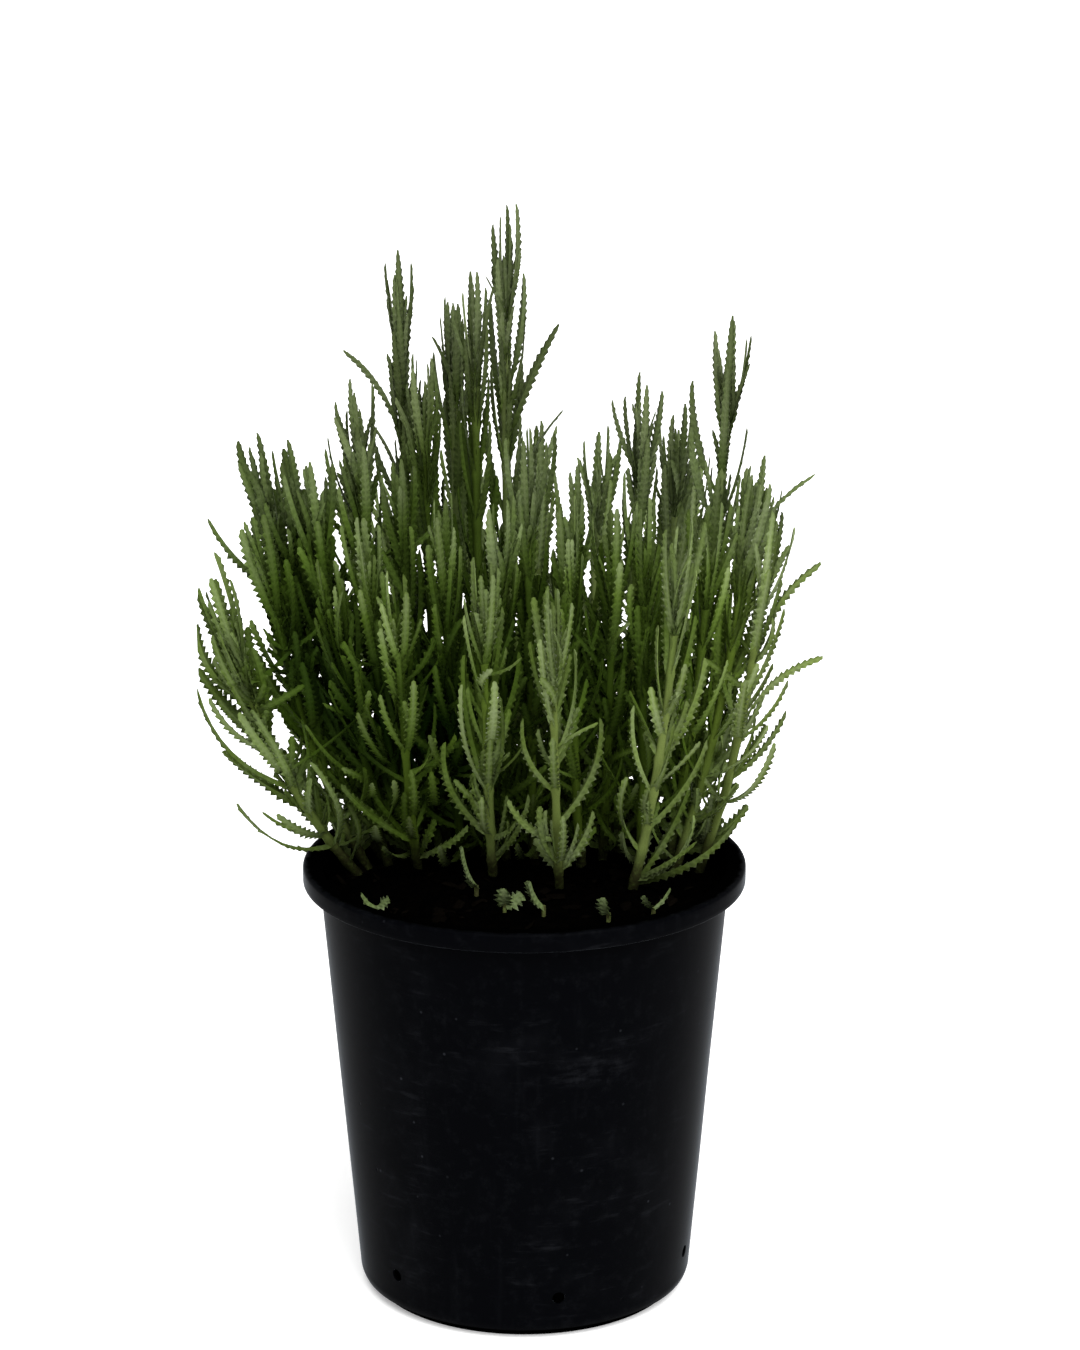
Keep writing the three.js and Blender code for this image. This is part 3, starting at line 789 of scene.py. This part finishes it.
def shoot_piece(node, number, leaves, crowd, sizes, material):
    """One shoot or sprout, in place of its CAD node. Its foot is darkened near the mix, partly mud and partly
    painted shade, a sprout all over.
    """
    random = np.random.default_rng(SHOOT_SEED + number)
    leaves.tone = random.uniform(0, 1, len(leaves))
    path = stem_path(node, leaves)
    turn = math.atan2(leaves.across[0, 1], leaves.across[0, 0])
    shape = Shape()
    if node in SPROUT_NODES:
        leaves.width *= 1.5
        leaves.tone = leaves.tone * 0.3 + 0.4
        add_stem(shape, path, 0.9 * MM, 0.6 * MM, 0.1 * MM, 0.5, crowd, turn)
        add_leaves(shape, leaves, 1.6 * MM, random, crowd)
        mud = np.full(shape.count, SPROUT_MUD_AND_SHADE)
    else:
        leaves.age = age_at(leaves.foot)
        add_stem_and_leaves(shape, path, leaves, turn, crowd, sizes, random)
        mud = smooth_step(MIX_TOP + 14 * MM, MIX_TOP, np.concatenate(shape.points)[:, 2])
    # darker near the mix: partly mud, partly painted shade
    shape.values["mud"] = [mud]
    return shape.piece(node + "_looks", material, "foliage", [node], crease=52)


# ---- finishes ----
def foliage_finish(colours):
    """Felted grey-green leaves with paler edges, partly their felt and partly a painted highlight, and stems
    that go from brown through yellow to green.
    """
    finish = Finish("felted_leaf")
    across, teeth, _ = finish.split(finish.add("ShaderNodeUVMap", {"uv_map": "blade"}).outputs["UV"])
    edge = abs(across)
    names = ("tone", "age", "stem", "under", "deep", "mud")
    tone, age, stem, under, deep, mud = (finish.attribute(name) for name in names)
    x, _, z = finish.split(finish.place())
    patches, fibres, grain = finish.noise(6 * MM, 3), finish.noise(1.5 * MM), finish.noise(0.5 * MM)

    colour = colour_of(colours, "young_leaf")
    for share, name in (
        (age.step(0.15, 0.75), "old_leaf"),
        (tone.step(0.55, 1.0) * 0.5, "bright_leaf"),
        (patches.step(0.35, 0.75) * 0.35, "grey_leaf"),
        # paler teeth: partly the felt's own colour, partly a painted highlight
        (edge.step(0.6, 1.0) * 0.8, "leaf_edge_felt_and_highlight"),
        (under.step(0.2, 0.9) * 0.6, "leaf_under"),
        # painted shade along the groove over the midrib
        (edge.step(0.16, 0.0) * (1 - under) * 0.35, "old_leaf"),  # the groove over the midrib
    ):
        colour = finish.mix(share, colour, colour_of(colours, name))
    bark = finish.mix(age.step(0.25, 0.8), colour_of(colours, "young_stem"), colour_of(colours, "old_stem"))
    bark = finish.mix(age.step(0.985, 1.0) * fibres.step(0.2, 0.6), bark, colour_of(colours, "stem_foot"))
    colour = finish.mix(stem, colour, bark)

    wrinkle = ((teeth - edge * 0.45) * (2 * math.pi)).math("COSINE") * 0.5 + 0.5
    wrinkle = wrinkle * (1 - stem) * edge.step(0.04, 0.3)
    painted_light_right = x.step(25 * MM, 70 * MM) * z.step(262 * MM, 230 * MM) * z.step(155 * MM, 200 * MM)
    for share, shade in (
        (1.0, finish.mix(tone, (0.6, 0.62, 0.52, 1), (1.23, 1.22, 1.3, 1))),
        # painted shade: yellower a little way inside the plant
        (deep.step(0.0, 0.5), (0.76, 0.9, 0.38, 1)),  # yellower a little way inside the plant
        (z.step(235 * MM, 285 * MM), (0.64, 0.62, 0.62, 1)),  # dull tops
        # painted light: greyer and paler on the right
        (painted_light_right, (1.38, 1.32, 1.45, 1)),  # greyer and paler on the right
        # painted shade: darker on the left
        (x.step(-38 * MM, -72 * MM), (0.77, 0.81, 0.69, 1)),  # darker on the left
        # painted shade: darker and greener deep inside the plant
        (deep, colour_of(colours, "depth")),
        # darker near the mix: partly mud, partly painted shade
        (mud, (0.22, 0.22, 0.19, 1)),
        (0.5, finish.mix(grain, (0.55, 0.55, 0.55, 1), (1.3, 1.3, 1.3, 1))),
        # painted shade in the grooves of the wrinkles
        (wrinkle, (0.82, 0.84, 0.76, 1)),
    ):
        colour = finish.multiply(share, colour, shade)
    height = (1 - finish.cells(0.75 * MM)) * 0.7 + grain * 0.3 - wrinkle * 2
    felt = finish.shader(colour, 0.62 + grain * 0.2, height, 0.07 * MM, Specular_IOR_Level=0.04)
    return finish.surface(felt)


def pot_finish(pot, colours):
    """Black moulded plastic with dust, a smear, specks and small dents, and mud inside it and on the rim."""
    finish = Finish("pot_plastic")
    place = finish.place()
    x, y, z = finish.split(place)
    radius = (x * x + y * y).math("SQRT")
    grain, cloud = finish.noise(0.35 * MM), finish.noise(24 * MM, 4, 0.62)
    mottle = finish.noise(4.5 * MM, 4, 0.7)
    stretched = (
        finish.add("ShaderNodeMapping", None, {"Vector": place, "Scale": scale}).outputs[0]
        for scale in ((70, 70, 420), (160, 160, 22)))
    streaks, runs = (finish.noise(1.0, 3, 0.6, vector) for vector in stretched)
    across, up = (x - 20 * MM) * (1 / (17 * MM)), (z - 92 * MM) * (1 / (6 * MM))
    smear = (across * across + up * up).step(1.0, 0.0) * y.step(0, -20 * MM)
    dust = cloud.step(0.5, 0.8) * 0.16 + mottle.step(0.48, 0.8) * 0.2
    dust = dust + streaks.step(0.55, 0.75) * cloud.step(0.46, 0.62) * 0.42 + runs.step(0.56, 0.8) * 0.14
    dust = dust + smear * (streaks * 0.6 + mottle * 0.4).step(0.4, 0.62) * 0.45
    specks = finish.cells(7.5 * MM).step(0.085, 0.03)
    dust = (dust + specks * 1.6 * cloud.step(0.4, 0.6)).at_most(2)
    dents = finish.cells(19 * MM).step(0.055, 0.03)
    colour = finish.mix(dust * 0.5, colour_of(colours, "plastic"), colour_of(colours, "dust"))
    colour = finish.mix(dents * 0.9, colour, colour_of(colours, "plastic"))
    height = grain * 0.25 + cloud * 0.6 - dents * 2.5
    roughness = 0.42 + dust * 0.2 + grain * 0.06
    plastic = finish.shader(colour, roughness, height, 0.05 * MM, Specular_IOR_Level=0.006,
                            Sheen_Weight=0.155, Sheen_Roughness=0.21, Sheen_Tint=(0.78, 0.88, 1.0, 1.0))

    inside = (wall_radius(pot, z) - radius).step(0.3 * MM, 0.9 * MM)
    ragged = radius + (finish.noise(3.5 * MM, 3) - 0.5) * 3 * MM
    rim = ragged.step(pot.rim_radius - 0.6 * MM, pot.rim_radius - 2.4 * MM)
    rim = rim * z.step(pot.height - 1.4 * MM, pot.height - 0.7 * MM)
    mud = finish.shader(colour_of(colours, "damp_mix"), 0.95, grain, 0.1 * MM, Specular_IOR_Level=0.0)
    mixed = {0: (inside + rim).at_most(1), 1: plastic, 2: mud}
    return finish.surface(finish.add("ShaderNodeMixShader", None, mixed).outputs[0])


def mix_finish(colours):
    """Nearly black damp peat with lumps and crumbs, and brown fibrous bark."""
    finish = Finish("potting_mix")
    lumps, fibre = finish.noise(3 * MM, 4, 0.65), finish.noise(0.8 * MM, 3)
    names = ("damp_mix", "dry_mix", "dark_bark", "pale_bark")
    damp, dry, dark, pale = (colour_of(colours, name) for name in names)
    peat = finish.mix(lumps.step(0.35, 0.7), damp, dry)
    colour = finish.mix(finish.attribute("bark"), peat, finish.mix(fibre.step(0.3, 0.7), dark, pale))
    height = (1 - finish.cells(1.6 * MM)) * 0.6 + lumps * 0.8
    crumbly = finish.shader(colour, 0.88 + fibre * 0.1, height, 0.5 * MM, Specular_IOR_Level=0.0)
    return finish.surface(crumbly)


def floor_finish(colours):
    """Matt white card with a fine tooth, that glows a little so that it stays white."""
    finish = Finish("floor_card")
    tooth = finish.noise(2 * MM)
    card = finish.shader(colour_of(colours, "floor"), 0.9, tooth, 0.01 * MM, Specular_IOR_Level=0.0,
                         Emission_Color=WHITE, Emission_Strength=0.28)
    return finish.surface(card)


# ---- the pot ----
def wall_radius(pot, z):
    """The outside radius of the wall, which widens evenly from the base curve to the lip."""
    slope = (pot.shoulder_radius - pot.base_radius) / (pot.height - pot.lip_height - pot.base_curve)
    return pot.base_radius + slope * (z - pot.base_curve)


def arc(centre, radius, start, end, steps):
    """Points of a circle, with the angles in degrees, as radius and height."""
    angle = np.radians(np.linspace(start, end, steps))
    return np.stack([centre[0] + radius * np.cos(angle), centre[1] + radius * np.sin(angle)], axis=-1)


def pot_profile(pot):
    """The pot's section as one line, from the underside's centre outwards, over the lip and down inside."""
    height, rim, wall, curve = pot.height, pot.rim_radius, pot.wall, pot.base_curve
    lip, foot = height - pot.lip_height, pot.base_radius - pot.base_curve
    under_lip, at_base, at_top = (wall_radius(pot, z) for z in (height - wall, curve, height))

    def upright(start, end, count, inset=0.0):
        """Evenly spaced points up the wall, set in from its outside."""
        z = np.linspace(start, end, count)
        return np.stack([wall_radius(pot, z) - inset, z], axis=-1)

    def millimetres(centre, *steps):
        """Points by their distance from a radius and their height, both in millimetres."""
        return [[centre + out * MM, up * MM] for out, up in steps]

    parts = [
        millimetres(0, (0, 0.7), (9, 0.7), (9.6, 0.2), (11, 0.2), (11.6, 0.7), (20, 0.7)),
        millimetres(foot, (-2.2, 0.7), (-1.4, 0.15), (-0.8, 0), (1.5, 0), (2.2, 0.3), (2.6, 1), (2.6, 1.9),
                    (1.7, 2.5), (1.9, 3.0)),
        arc((foot, curve), curve, -31, 0, 9),
        upright(curve + 2 * MM, lip + 0.4 * MM, 48),
        [[under_lip + 0.4 * MM, height - wall - 1.2 * MM], [under_lip + 1.2 * MM, height - wall - 0.2 * MM],
         [rim - wall - 0.9 * MM, height - wall - 0.2 * MM], [rim - wall - 0.1 * MM, height - wall - 1 * MM],
         [rim - wall, lip + 0.5 * MM]],
        arc((rim - wall / 2, lip + wall / 2), wall / 2, 200, 340, 6),
        [[rim, lip + 1.6 * MM], [rim, height - 2.6 * MM]],
        arc((rim - 1.3 * MM, height - 1.3 * MM), 1.3 * MM, 10, 90, 7),
        [[rim - 2.6 * MM, height - 0.12 * MM], [at_top + 0.9 * MM, height - 0.12 * MM]],
        arc((at_top - wall + 1.1 * MM, height - 1.1 * MM), 1.1 * MM, 100, 178, 6),
        upright(height - 2.5 * MM, curve + pot.floor, 24, wall),
        [[at_base - wall - curve * 0.3, pot.floor + curve * 0.25], [at_base - wall - curve * 0.75, pot.floor],
         [20 * MM, pot.floor], [0, pot.floor]],
    ]
    return np.concatenate([np.asarray(part, float).reshape(-1, 2) for part in parts])


def drain_tools(pot):
    """The drain holes, as cylinders to cut away: level ones in the wall and upright ones in the floor.

    Each is made at the front and turned about Z, the wall's by sixths of a turn and the floor's by quarters.
    """
    tools = Shape()
    segments, reach = 32, 4 * MM
    wall = wall_radius(pot, pot.drain_height)
    for count, radius, ring, height, first in (
        (6, 2 * MM, wall, pot.drain_height, pot.drain_turn),
        (4, 4 * MM, 24 * MM, 0, pot.drain_turn + math.radians(30)),
    ):
        grid = turned_grid(np.array([radius, radius]), np.array([-reach, reach]), segments)
        if height:
            grid = grid[..., [0, 2, 1]] * [1, -1, 1]
        grid = grid + [0, -ring, height]
        for number in range(count):
            angle = first + 2 * math.pi * number / count
            c, s = math.cos(angle), math.sin(angle)
            tools.join(grid @ np.array([[c, s, 0], [-s, c, 0], [0, 0, 1]]), tube_faces(2, segments))
    return tools


def cutting_body(name, shape):
    """A shape as a bare object in the scene, for the boolean cut."""
    mesh = bpy.data.meshes.new(name)
    faces = [face for block in shape.faces for face in block.tolist()]
    mesh.from_pydata(np.concatenate(shape.points).tolist(), [], faces)
    return in_scene(name, mesh)


def pot_piece(pot, material):
    """The pot's profile turned about its axis, with its drains cut away.

    Lattice noise draws the wall in by up to about a third of a millimetre, and leaves the base round.
    """
    profile = pot_profile(pot)
    inner = profile[1:-1]
    segments = 160
    grid = turned_grid(inner[:, 0], inner[:, 1], segments)
    out = unit(grid * [1, 1, 0])
    uneven = lattice_noise(grid, 38 * MM, 3) * 0.16 * MM - 0.16 * MM
    grid = grid + out * (uneven * smooth_step(10 * MM, 40 * MM, inner[:, 1])[:, None])[..., None]
    shape = Shape()
    shape.join(grid, [grid_faces(len(inner), segments)])
    last = (len(inner) - 1) * segments
    ring = np.arange(segments)
    centre = segments * len(inner)
    shape.join(np.array([[0, 0, profile[0, 1]], [0, 0, profile[-1, 1]]]), [])
    low = np.stack([np.full(segments, centre), (ring + 1) % segments, ring], axis=-1)
    high = np.stack([np.full(segments, centre + 1), last + ring, last + (ring + 1) % segments], axis=-1)
    shape.faces += [low, high]
    body, tools = cutting_body("pot_turned", shape), cutting_body("pot_drains", drain_tools(pot))
    cut = body.modifiers.new("drains", "BOOLEAN")
    cut.operation, cut.solver, cut.object = "DIFFERENCE", "EXACT", tools
    bpy.context.view_layer.update()
    mesh = bpy.data.meshes.new_from_object(body.evaluated_get(bpy.context.evaluated_depsgraph_get()))
    for thing in (body, tools):
        bpy.data.objects.remove(thing)
    mesh.materials.clear()
    mesh.polygons.foreach_set("use_smooth", np.ones(len(mesh.polygons), bool))
    mesh.set_sharp_from_angle(angle=math.radians(38))
    return finished(mesh, "nursery_pot", material, ["pot"])


# ---- the potting mix ----
def mix_height(place, low, high):
    """The crumbled surface: a dome by a square law, and hollows, lumps, clods and crumbs as lattice noise."""
    radius = np.hypot(place[..., 0], place[..., 1])
    dome = (high - low) * (1 - (radius / (62 * MM)) ** 2)
    flat = place * [1, 1, 0]
    hollows, lumps, clods, crumbs = (
        lattice_noise(flat, pitch * MM, seed) for pitch, seed in ((17, 11), (6, 12), (2.6, 13), (1.2, 14)))
    rough = hollows * 0.9 + lumps * 0.8 + np.abs(clods) * 1.1 + crumbs * 0.35
    return low + dome - 1.2 * MM + rough * MM


def lump_template():
    """The regular solid of twelve points and twenty triangles, on a ball of radius 1."""
    gold = (1 + 5**0.5) / 2
    points = np.array([
        (-1, gold, 0), (1, gold, 0), (-1, -gold, 0), (1, -gold, 0), (0, -1, gold), (0, 1, gold),
        (0, -1, -gold), (0, 1, -gold), (gold, 0, -1), (gold, 0, 1), (-gold, 0, -1), (-gold, 0, 1),
    ])
    faces = np.array([
        (0, 11, 5), (0, 5, 1), (0, 1, 7), (0, 7, 10), (0, 10, 11), (1, 5, 9), (5, 11, 4), (11, 10, 2),
        (10, 7, 6), (7, 1, 8), (3, 9, 4), (3, 4, 2), (3, 2, 6), (3, 6, 8), (3, 8, 9), (4, 9, 5), (2, 4, 11),
        (6, 2, 10), (8, 6, 7), (9, 8, 1),
    ])
    return unit(points), faces


def turned_about(axis, angle):
    """One turning matrix for each angle, about Z or about Y."""
    c, s, zero, one = np.cos(angle), np.sin(angle), np.zeros(len(angle)), np.ones(len(angle))
    rows = ((c, -s, zero), (s, c, zero), (zero, zero, one)) if axis == "z" else (
        (c, zero, s), (zero, one, zero), (-s, zero, c))
    return np.stack([np.stack(row, axis=-1) for row in rows], axis=-2)


def add_lumps(shape, number, sizes, flatness, bark, low, high, random):
    """Crumbs and chips: balls stretched by their own sizes, dented, turned about and half sunk in the mix."""
    ball, faces = lump_template()
    radius = 60 * MM * np.sqrt(random.uniform(0, 1, number))
    place = radius[:, None] * level_way(random.uniform(0, 2 * math.pi, number))
    place[:, 2] = mix_height(place, low, high)
    size = random.uniform(*sizes, number) * MM
    stretch = [np.ones(number), random.uniform(0.35, 0.8, number), np.full(number, flatness)]
    stretch = np.stack(stretch, axis=-1) * size[:, None]
    points = ball[None] * random.uniform(0.7, 1.15, (number, len(ball), 1)) * stretch[:, None]
    spin = turned_about("z", random.uniform(0, 2 * math.pi, number))
    tilt = turned_about("y", random.normal(0, 0.35, number))
    points = np.einsum("nij,njk,nvk->nvi", spin, tilt, points) + place[:, None]
    offset = (np.arange(number) * len(ball))[:, None, None]
    shade = np.repeat(random.uniform(0.3, 1, number) * bark, len(ball))
    shape.join(points, [(faces[None] + offset).reshape(-1, 3)], bark=shade)


def mix_piece(sizes, pot, material):
    """The root ball: a round grid for its crumbled top and its side just inside the pot, and loose crumbs."""
    low, high = MIX_TOP - sizes.dome, MIX_TOP
    gap = pot.wall + 0.5 * MM
    segments, rings = 220, 74
    top = turned_grid((wall_radius(pot, low) - gap) * np.linspace(1, 0.012, rings), np.zeros(rings), segments)
    top[..., 2] = mix_height(top, low, high)
    top[0, :, 2] = np.minimum(top[0, :, 2], low)
    edge_z = np.array([pot.floor + 0.6 * MM, pot.base_curve + pot.floor, 0.5 * low])
    edge_r = wall_radius(pot, edge_z) - gap
    edge_r[0] = pot.base_radius - gap - pot.base_curve * 0.7
    grid = np.concatenate([turned_grid(edge_r, edge_z, segments), top])
    shape = Shape()
    shape.join(grid, tube_faces(len(grid), segments), bark=0.0)
    random = np.random.default_rng(MIX_SEED)
    add_lumps(shape, 420, (0.6, 1.9), 0.7, 0.15, low, high, random)  # crumbs
    add_lumps(shape, 90, (1.6, 4.2), 0.22, 1.0, low, high, random)  # bark chips
    return shape.piece("potting_mix_looks", material, "potting_mix", ["potting_mix"], crease=60)


# ---- the stage ----
def add_key(strength):
    """One broad light from above the camera, turned so that it faces the middle of the plant.

    It is tipped by the angle between straight down and its way, and then turned about Z onto that way.
    """
    place, target, breadth = np.array([0.3, -0.8, 1.4]), np.array([0, 0, 0.17]), math.radians(60)
    light = bpy.data.lights.new("key", "SUN")
    light.angle, light.energy = breadth, strength
    thing = in_scene("key", light)
    thing.location = place
    x, y, z = target - place
    thing.rotation_euler = (math.atan2(math.hypot(x, y), -z), 0, math.atan2(-x, y))


def add_camera(stage):
    """A camera in front of the pot that looks down at it a little."""
    camera = bpy.data.cameras.new("view")
    camera.lens, camera.sensor_width = stage.lens, 36
    thing = in_scene("view", camera)
    thing.location = (stage.camera_side, -stage.camera_distance, stage.camera_height)
    thing.rotation_euler = (math.pi / 2 - stage.camera_pitch, 0, 0)
    bpy.context.scene.camera = thing


def add_floor(material):
    """One large flat square."""
    half = 9.0
    corners = [(-half, -half, 0), (half, -half, 0), (half, half, 0), (-half, half, 0)]
    mesh = bpy.data.meshes.new("floor")
    mesh.from_pydata(corners, [], [(0, 1, 2, 3)])
    mesh.materials.append(material)
    in_scene("floor", mesh)


def add_sky(stage):
    """An even pale surround."""
    world = bpy.data.worlds.new("studio")
    world.use_nodes = True
    background = world.node_tree.nodes["Background"]
    background.inputs["Color"].default_value = WHITE
    background.inputs["Strength"].default_value = stage.sky
    bpy.context.scene.world = world


# ---- what a user would change ----
def a_number(name, description, default, **more):
    """A number that the user may change."""
    return bpy.props.FloatProperty(name=name, description=description, default=default, **more)


def a_length(name, description, default):
    """A length in metres."""
    return a_number(name, description, default, unit="LENGTH")


def an_angle(name, description, degrees):
    """An angle, given in degrees and kept in radians."""
    return a_number(name, description, math.radians(degrees), subtype="ANGLE")


def a_share(name, description, default):
    """A share from 0 to 1."""
    return a_number(name, description, default, subtype="FACTOR")


def a_colour(name, description, *default):
    """A colour by its red, green and blue, from 0 to 1."""
    return bpy.props.FloatVectorProperty(name=name, description=description, default=default, subtype="COLOR")


class LavenderShootSizes(bpy.types.PropertyGroup):
    """Sizes of the stems and leaves."""

    stem_low: a_length("Stem at the foot", "Width of a stem where it leaves the mix", 3.3 * MM)
    stem_high: a_length("Stem at the top", "Width of a stem at its top pair of leaves", 2.3 * MM)
    tooth_pitch: a_length("Tooth pitch", "Distance between a leaf's teeth", 2.3 * MM)
    leaf_width: a_number("Leaf width", "Leaf width over the frame's", 0.77)
    side_leaves: bpy.props.IntProperty(name="Side leaves", description="Leaves low on a stem", default=18)
    side_reach: a_length("Side leaf reach", "Height above the mix up to which side leaves stand", 75 * MM)
    axil_share: a_share("Axils with leaves", "Share of the axils that hold small leaves", 0.55)
    cross_share: a_share("Crossed leaves", "Share of the leaves with a fellow a quarter round the stem", 0.55)


class LavenderPotSizes(bpy.types.PropertyGroup):
    """Sizes of the pot."""

    height: a_length("Height", "Height of the pot", 141 * MM)
    rim_radius: a_length("Rim radius", "Outside of the lip", 70 * MM)
    lip_height: a_length("Lip height", "Depth of the turned-down lip", 5.9 * MM)
    shoulder_radius: a_length("Shoulder radius", "Outside of the wall under the lip", 64.6 * MM)
    base_radius: a_length("Base radius", "Outside of the wall above the base curve", 53 * MM)
    base_curve: a_length("Base curve", "Radius of the rounded edge of the base", 6.5 * MM)
    wall: a_length("Wall", "Thickness of the wall", 1.2 * MM)
    floor: a_length("Floor", "Thickness of the floor", 2 * MM)
    drain_height: a_length("Drain height", "Height of the drain holes in the wall", 14.5 * MM)
    drain_turn: an_angle("Drain turn", "Angle of the first hole from the front", 11.5)


class LavenderMixSizes(bpy.types.PropertyGroup):
    """Sizes of the potting mix."""

    dome: a_length("Dome", "How far the middle stands above the edge", 2.5 * MM)


class LavenderStage(bpy.types.PropertyGroup):
    """The camera and the light."""

    lens: a_number("Lens", "Focal length of the camera in mm", 116.89)
    camera_side: a_length("Camera side", "How far right of the axis the camera stands", 4.9 * MM)
    camera_distance: a_length("Camera distance", "How far in front of the axis the camera stands", 1.3065)
    camera_height: a_length("Camera height", "Height of the camera above the floor", 0.5915)
    camera_pitch: an_angle("Camera pitch", "Angle that the camera looks down", 16.62)
    sky: a_number("Sky", "Strength of the even light", 0.62)
    key: a_number("Key", "Strength of the broad light from above", 4.6)


class LavenderColours(bpy.types.PropertyGroup):
    """Colours of every finish."""

    young_leaf: a_colour("Young leaf", "Leaves near the top", 0.136, 0.186, 0.069)
    old_leaf: a_colour("Old leaf", "Leaves low in the plant", 0.116, 0.166, 0.037)
    bright_leaf: a_colour("Bright leaf", "The freshest leaves", 0.166, 0.210, 0.082)
    grey_leaf: a_colour("Grey leaf", "The felt on a leaf", 0.182, 0.213, 0.132)
    # partly the felt's own colour, partly a painted highlight
    leaf_edge_felt_and_highlight: a_colour("Leaf edge", "The teeth", 0.262, 0.300, 0.190)
    leaf_under: a_colour("Underside", "The underside of a leaf", 0.170, 0.212, 0.094)
    # the colour of the painted shade deep inside the plant
    depth: a_colour("Depth", "What the leaves inside the plant are darkened by", 0.068, 0.125, 0.022)
    young_stem: a_colour("Young stem", "Stems near the top", 0.130, 0.172, 0.055)
    old_stem: a_colour("Old stem", "Stems low in the plant", 0.150, 0.196, 0.052)
    stem_foot: a_colour("Stem foot", "Where a stem leaves the mix", 0.060, 0.062, 0.022)
    plastic: a_colour("Plastic", "The pot", 0.0007, 0.0008, 0.0012)
    dust: a_colour("Dust", "Scuffs and dust on the pot", 0.015, 0.016, 0.019)
    damp_mix: a_colour("Damp mix", "The hollows of the potting mix", 0.0002, 0.0002, 0.0002)
    dry_mix: a_colour("Dry mix", "The crumbs of the potting mix", 0.0005, 0.0004, 0.0003)
    dark_bark: a_colour("Dark bark", "Bark chips", 0.0014, 0.0010, 0.0007)
    pale_bark: a_colour("Pale bark", "Fibres of the bark chips", 0.0024, 0.0018, 0.0012)
    floor: a_colour("Floor", "The floor", 0.9, 0.9, 0.9)


GROUPS = {
    "lavender_shoots": LavenderShootSizes,
    "lavender_pot": LavenderPotSizes,
    "lavender_mix": LavenderMixSizes,
    "lavender_stage": LavenderStage,
    "lavender_colours": LavenderColours,
}


# ---- operators ----
class LavenderPotOperator(bpy.types.Operator):
    """Build the nursery pot"""

    bl_idname = "lavender.pot"
    bl_label = "Pot"

    def execute(self, context):
        scene = context.scene
        pot_piece(scene.lavender_pot, pot_finish(scene.lavender_pot, scene.lavender_colours))
        return {"FINISHED"}


class LavenderMixOperator(bpy.types.Operator):
    """Build the potting mix with its crumbs and bark chips"""

    bl_idname = "lavender.mix"
    bl_label = "Potting mix"

    def execute(self, context):
        scene = context.scene
        mix_piece(scene.lavender_mix, scene.lavender_pot, mix_finish(scene.lavender_colours))
        return {"FINISHED"}


class LavenderShootsOperator(bpy.types.Operator):
    """Build every shoot and sprout"""

    bl_idname = "lavender.shoots"
    bl_label = "Shoots"

    def execute(self, context):
        scene = context.scene
        material = foliage_finish(scene.lavender_colours)
        found = {node: leaves_of(node, tip_edge=8 * MM, cone=0.8) for node in SHOOT_NODES}
        crowd = CrowdShade(np.concatenate([leaves.middle for leaves in found.values()]))
        found.update({node: leaves_of(node, tip_edge=3.2 * MM, cone=0.3) for node in SPROUT_NODES})
        for number, (node, leaves) in enumerate(found.items()):
            shoot_piece(node, number, leaves, crowd, scene.lavender_shoots, material)
        return {"FINISHED"}


class LavenderStageOperator(bpy.types.Operator):
    """Set up the floor, the light and the camera"""

    bl_idname = "lavender.stage"
    bl_label = "Stage"

    def execute(self, context):
        scene = context.scene
        stage = scene.lavender_stage
        scene.view_settings.view_transform = "Standard"
        add_camera(stage)
        add_floor(floor_finish(scene.lavender_colours))
        add_sky(stage)
        add_key(stage.key)
        return {"FINISHED"}


class LavenderPanel(bpy.types.Panel):
    """Lists the operators and what they read"""

    bl_idname = "VIEW3D_PT_lavender"
    bl_label = "Potted lavender"
    bl_space_type = "VIEW_3D"
    bl_region_type = "UI"
    bl_category = "Lavender"

    def draw(self, context):
        for operator in OPERATORS:
            self.layout.operator(operator.bl_idname)
        for name in GROUPS:
            box = self.layout.box()
            group = getattr(context.scene, name)
            for key in group.bl_rna.properties.keys():
                if key not in ("rna_type", "name"):
                    box.prop(group, key)


OPERATORS = (LavenderStageOperator, LavenderPotOperator, LavenderMixOperator, LavenderShootsOperator)


def register():
    """Makes the property groups, the operators and the panel known, and gives each scene its groups."""
    for item in (*GROUPS.values(), *OPERATORS, LavenderPanel):
        bpy.utils.register_class(item)
    for name, group in GROUPS.items():
        setattr(bpy.types.Scene, name, bpy.props.PointerProperty(type=group))


def unregister():
    """Takes away what register adds, in the opposite order."""
    for name in GROUPS:
        delattr(bpy.types.Scene, name)
    for item in (LavenderPanel, *reversed(OPERATORS), *reversed(GROUPS.values())):
        bpy.utils.unregister_class(item)


def main():
    """Builds the stage and every piece."""
    register()
    bpy.ops.lavender.stage()
    bpy.ops.lavender.pot()
    bpy.ops.lavender.mix()
    bpy.ops.lavender.shoots()


if __name__ == "__main__":
    main()
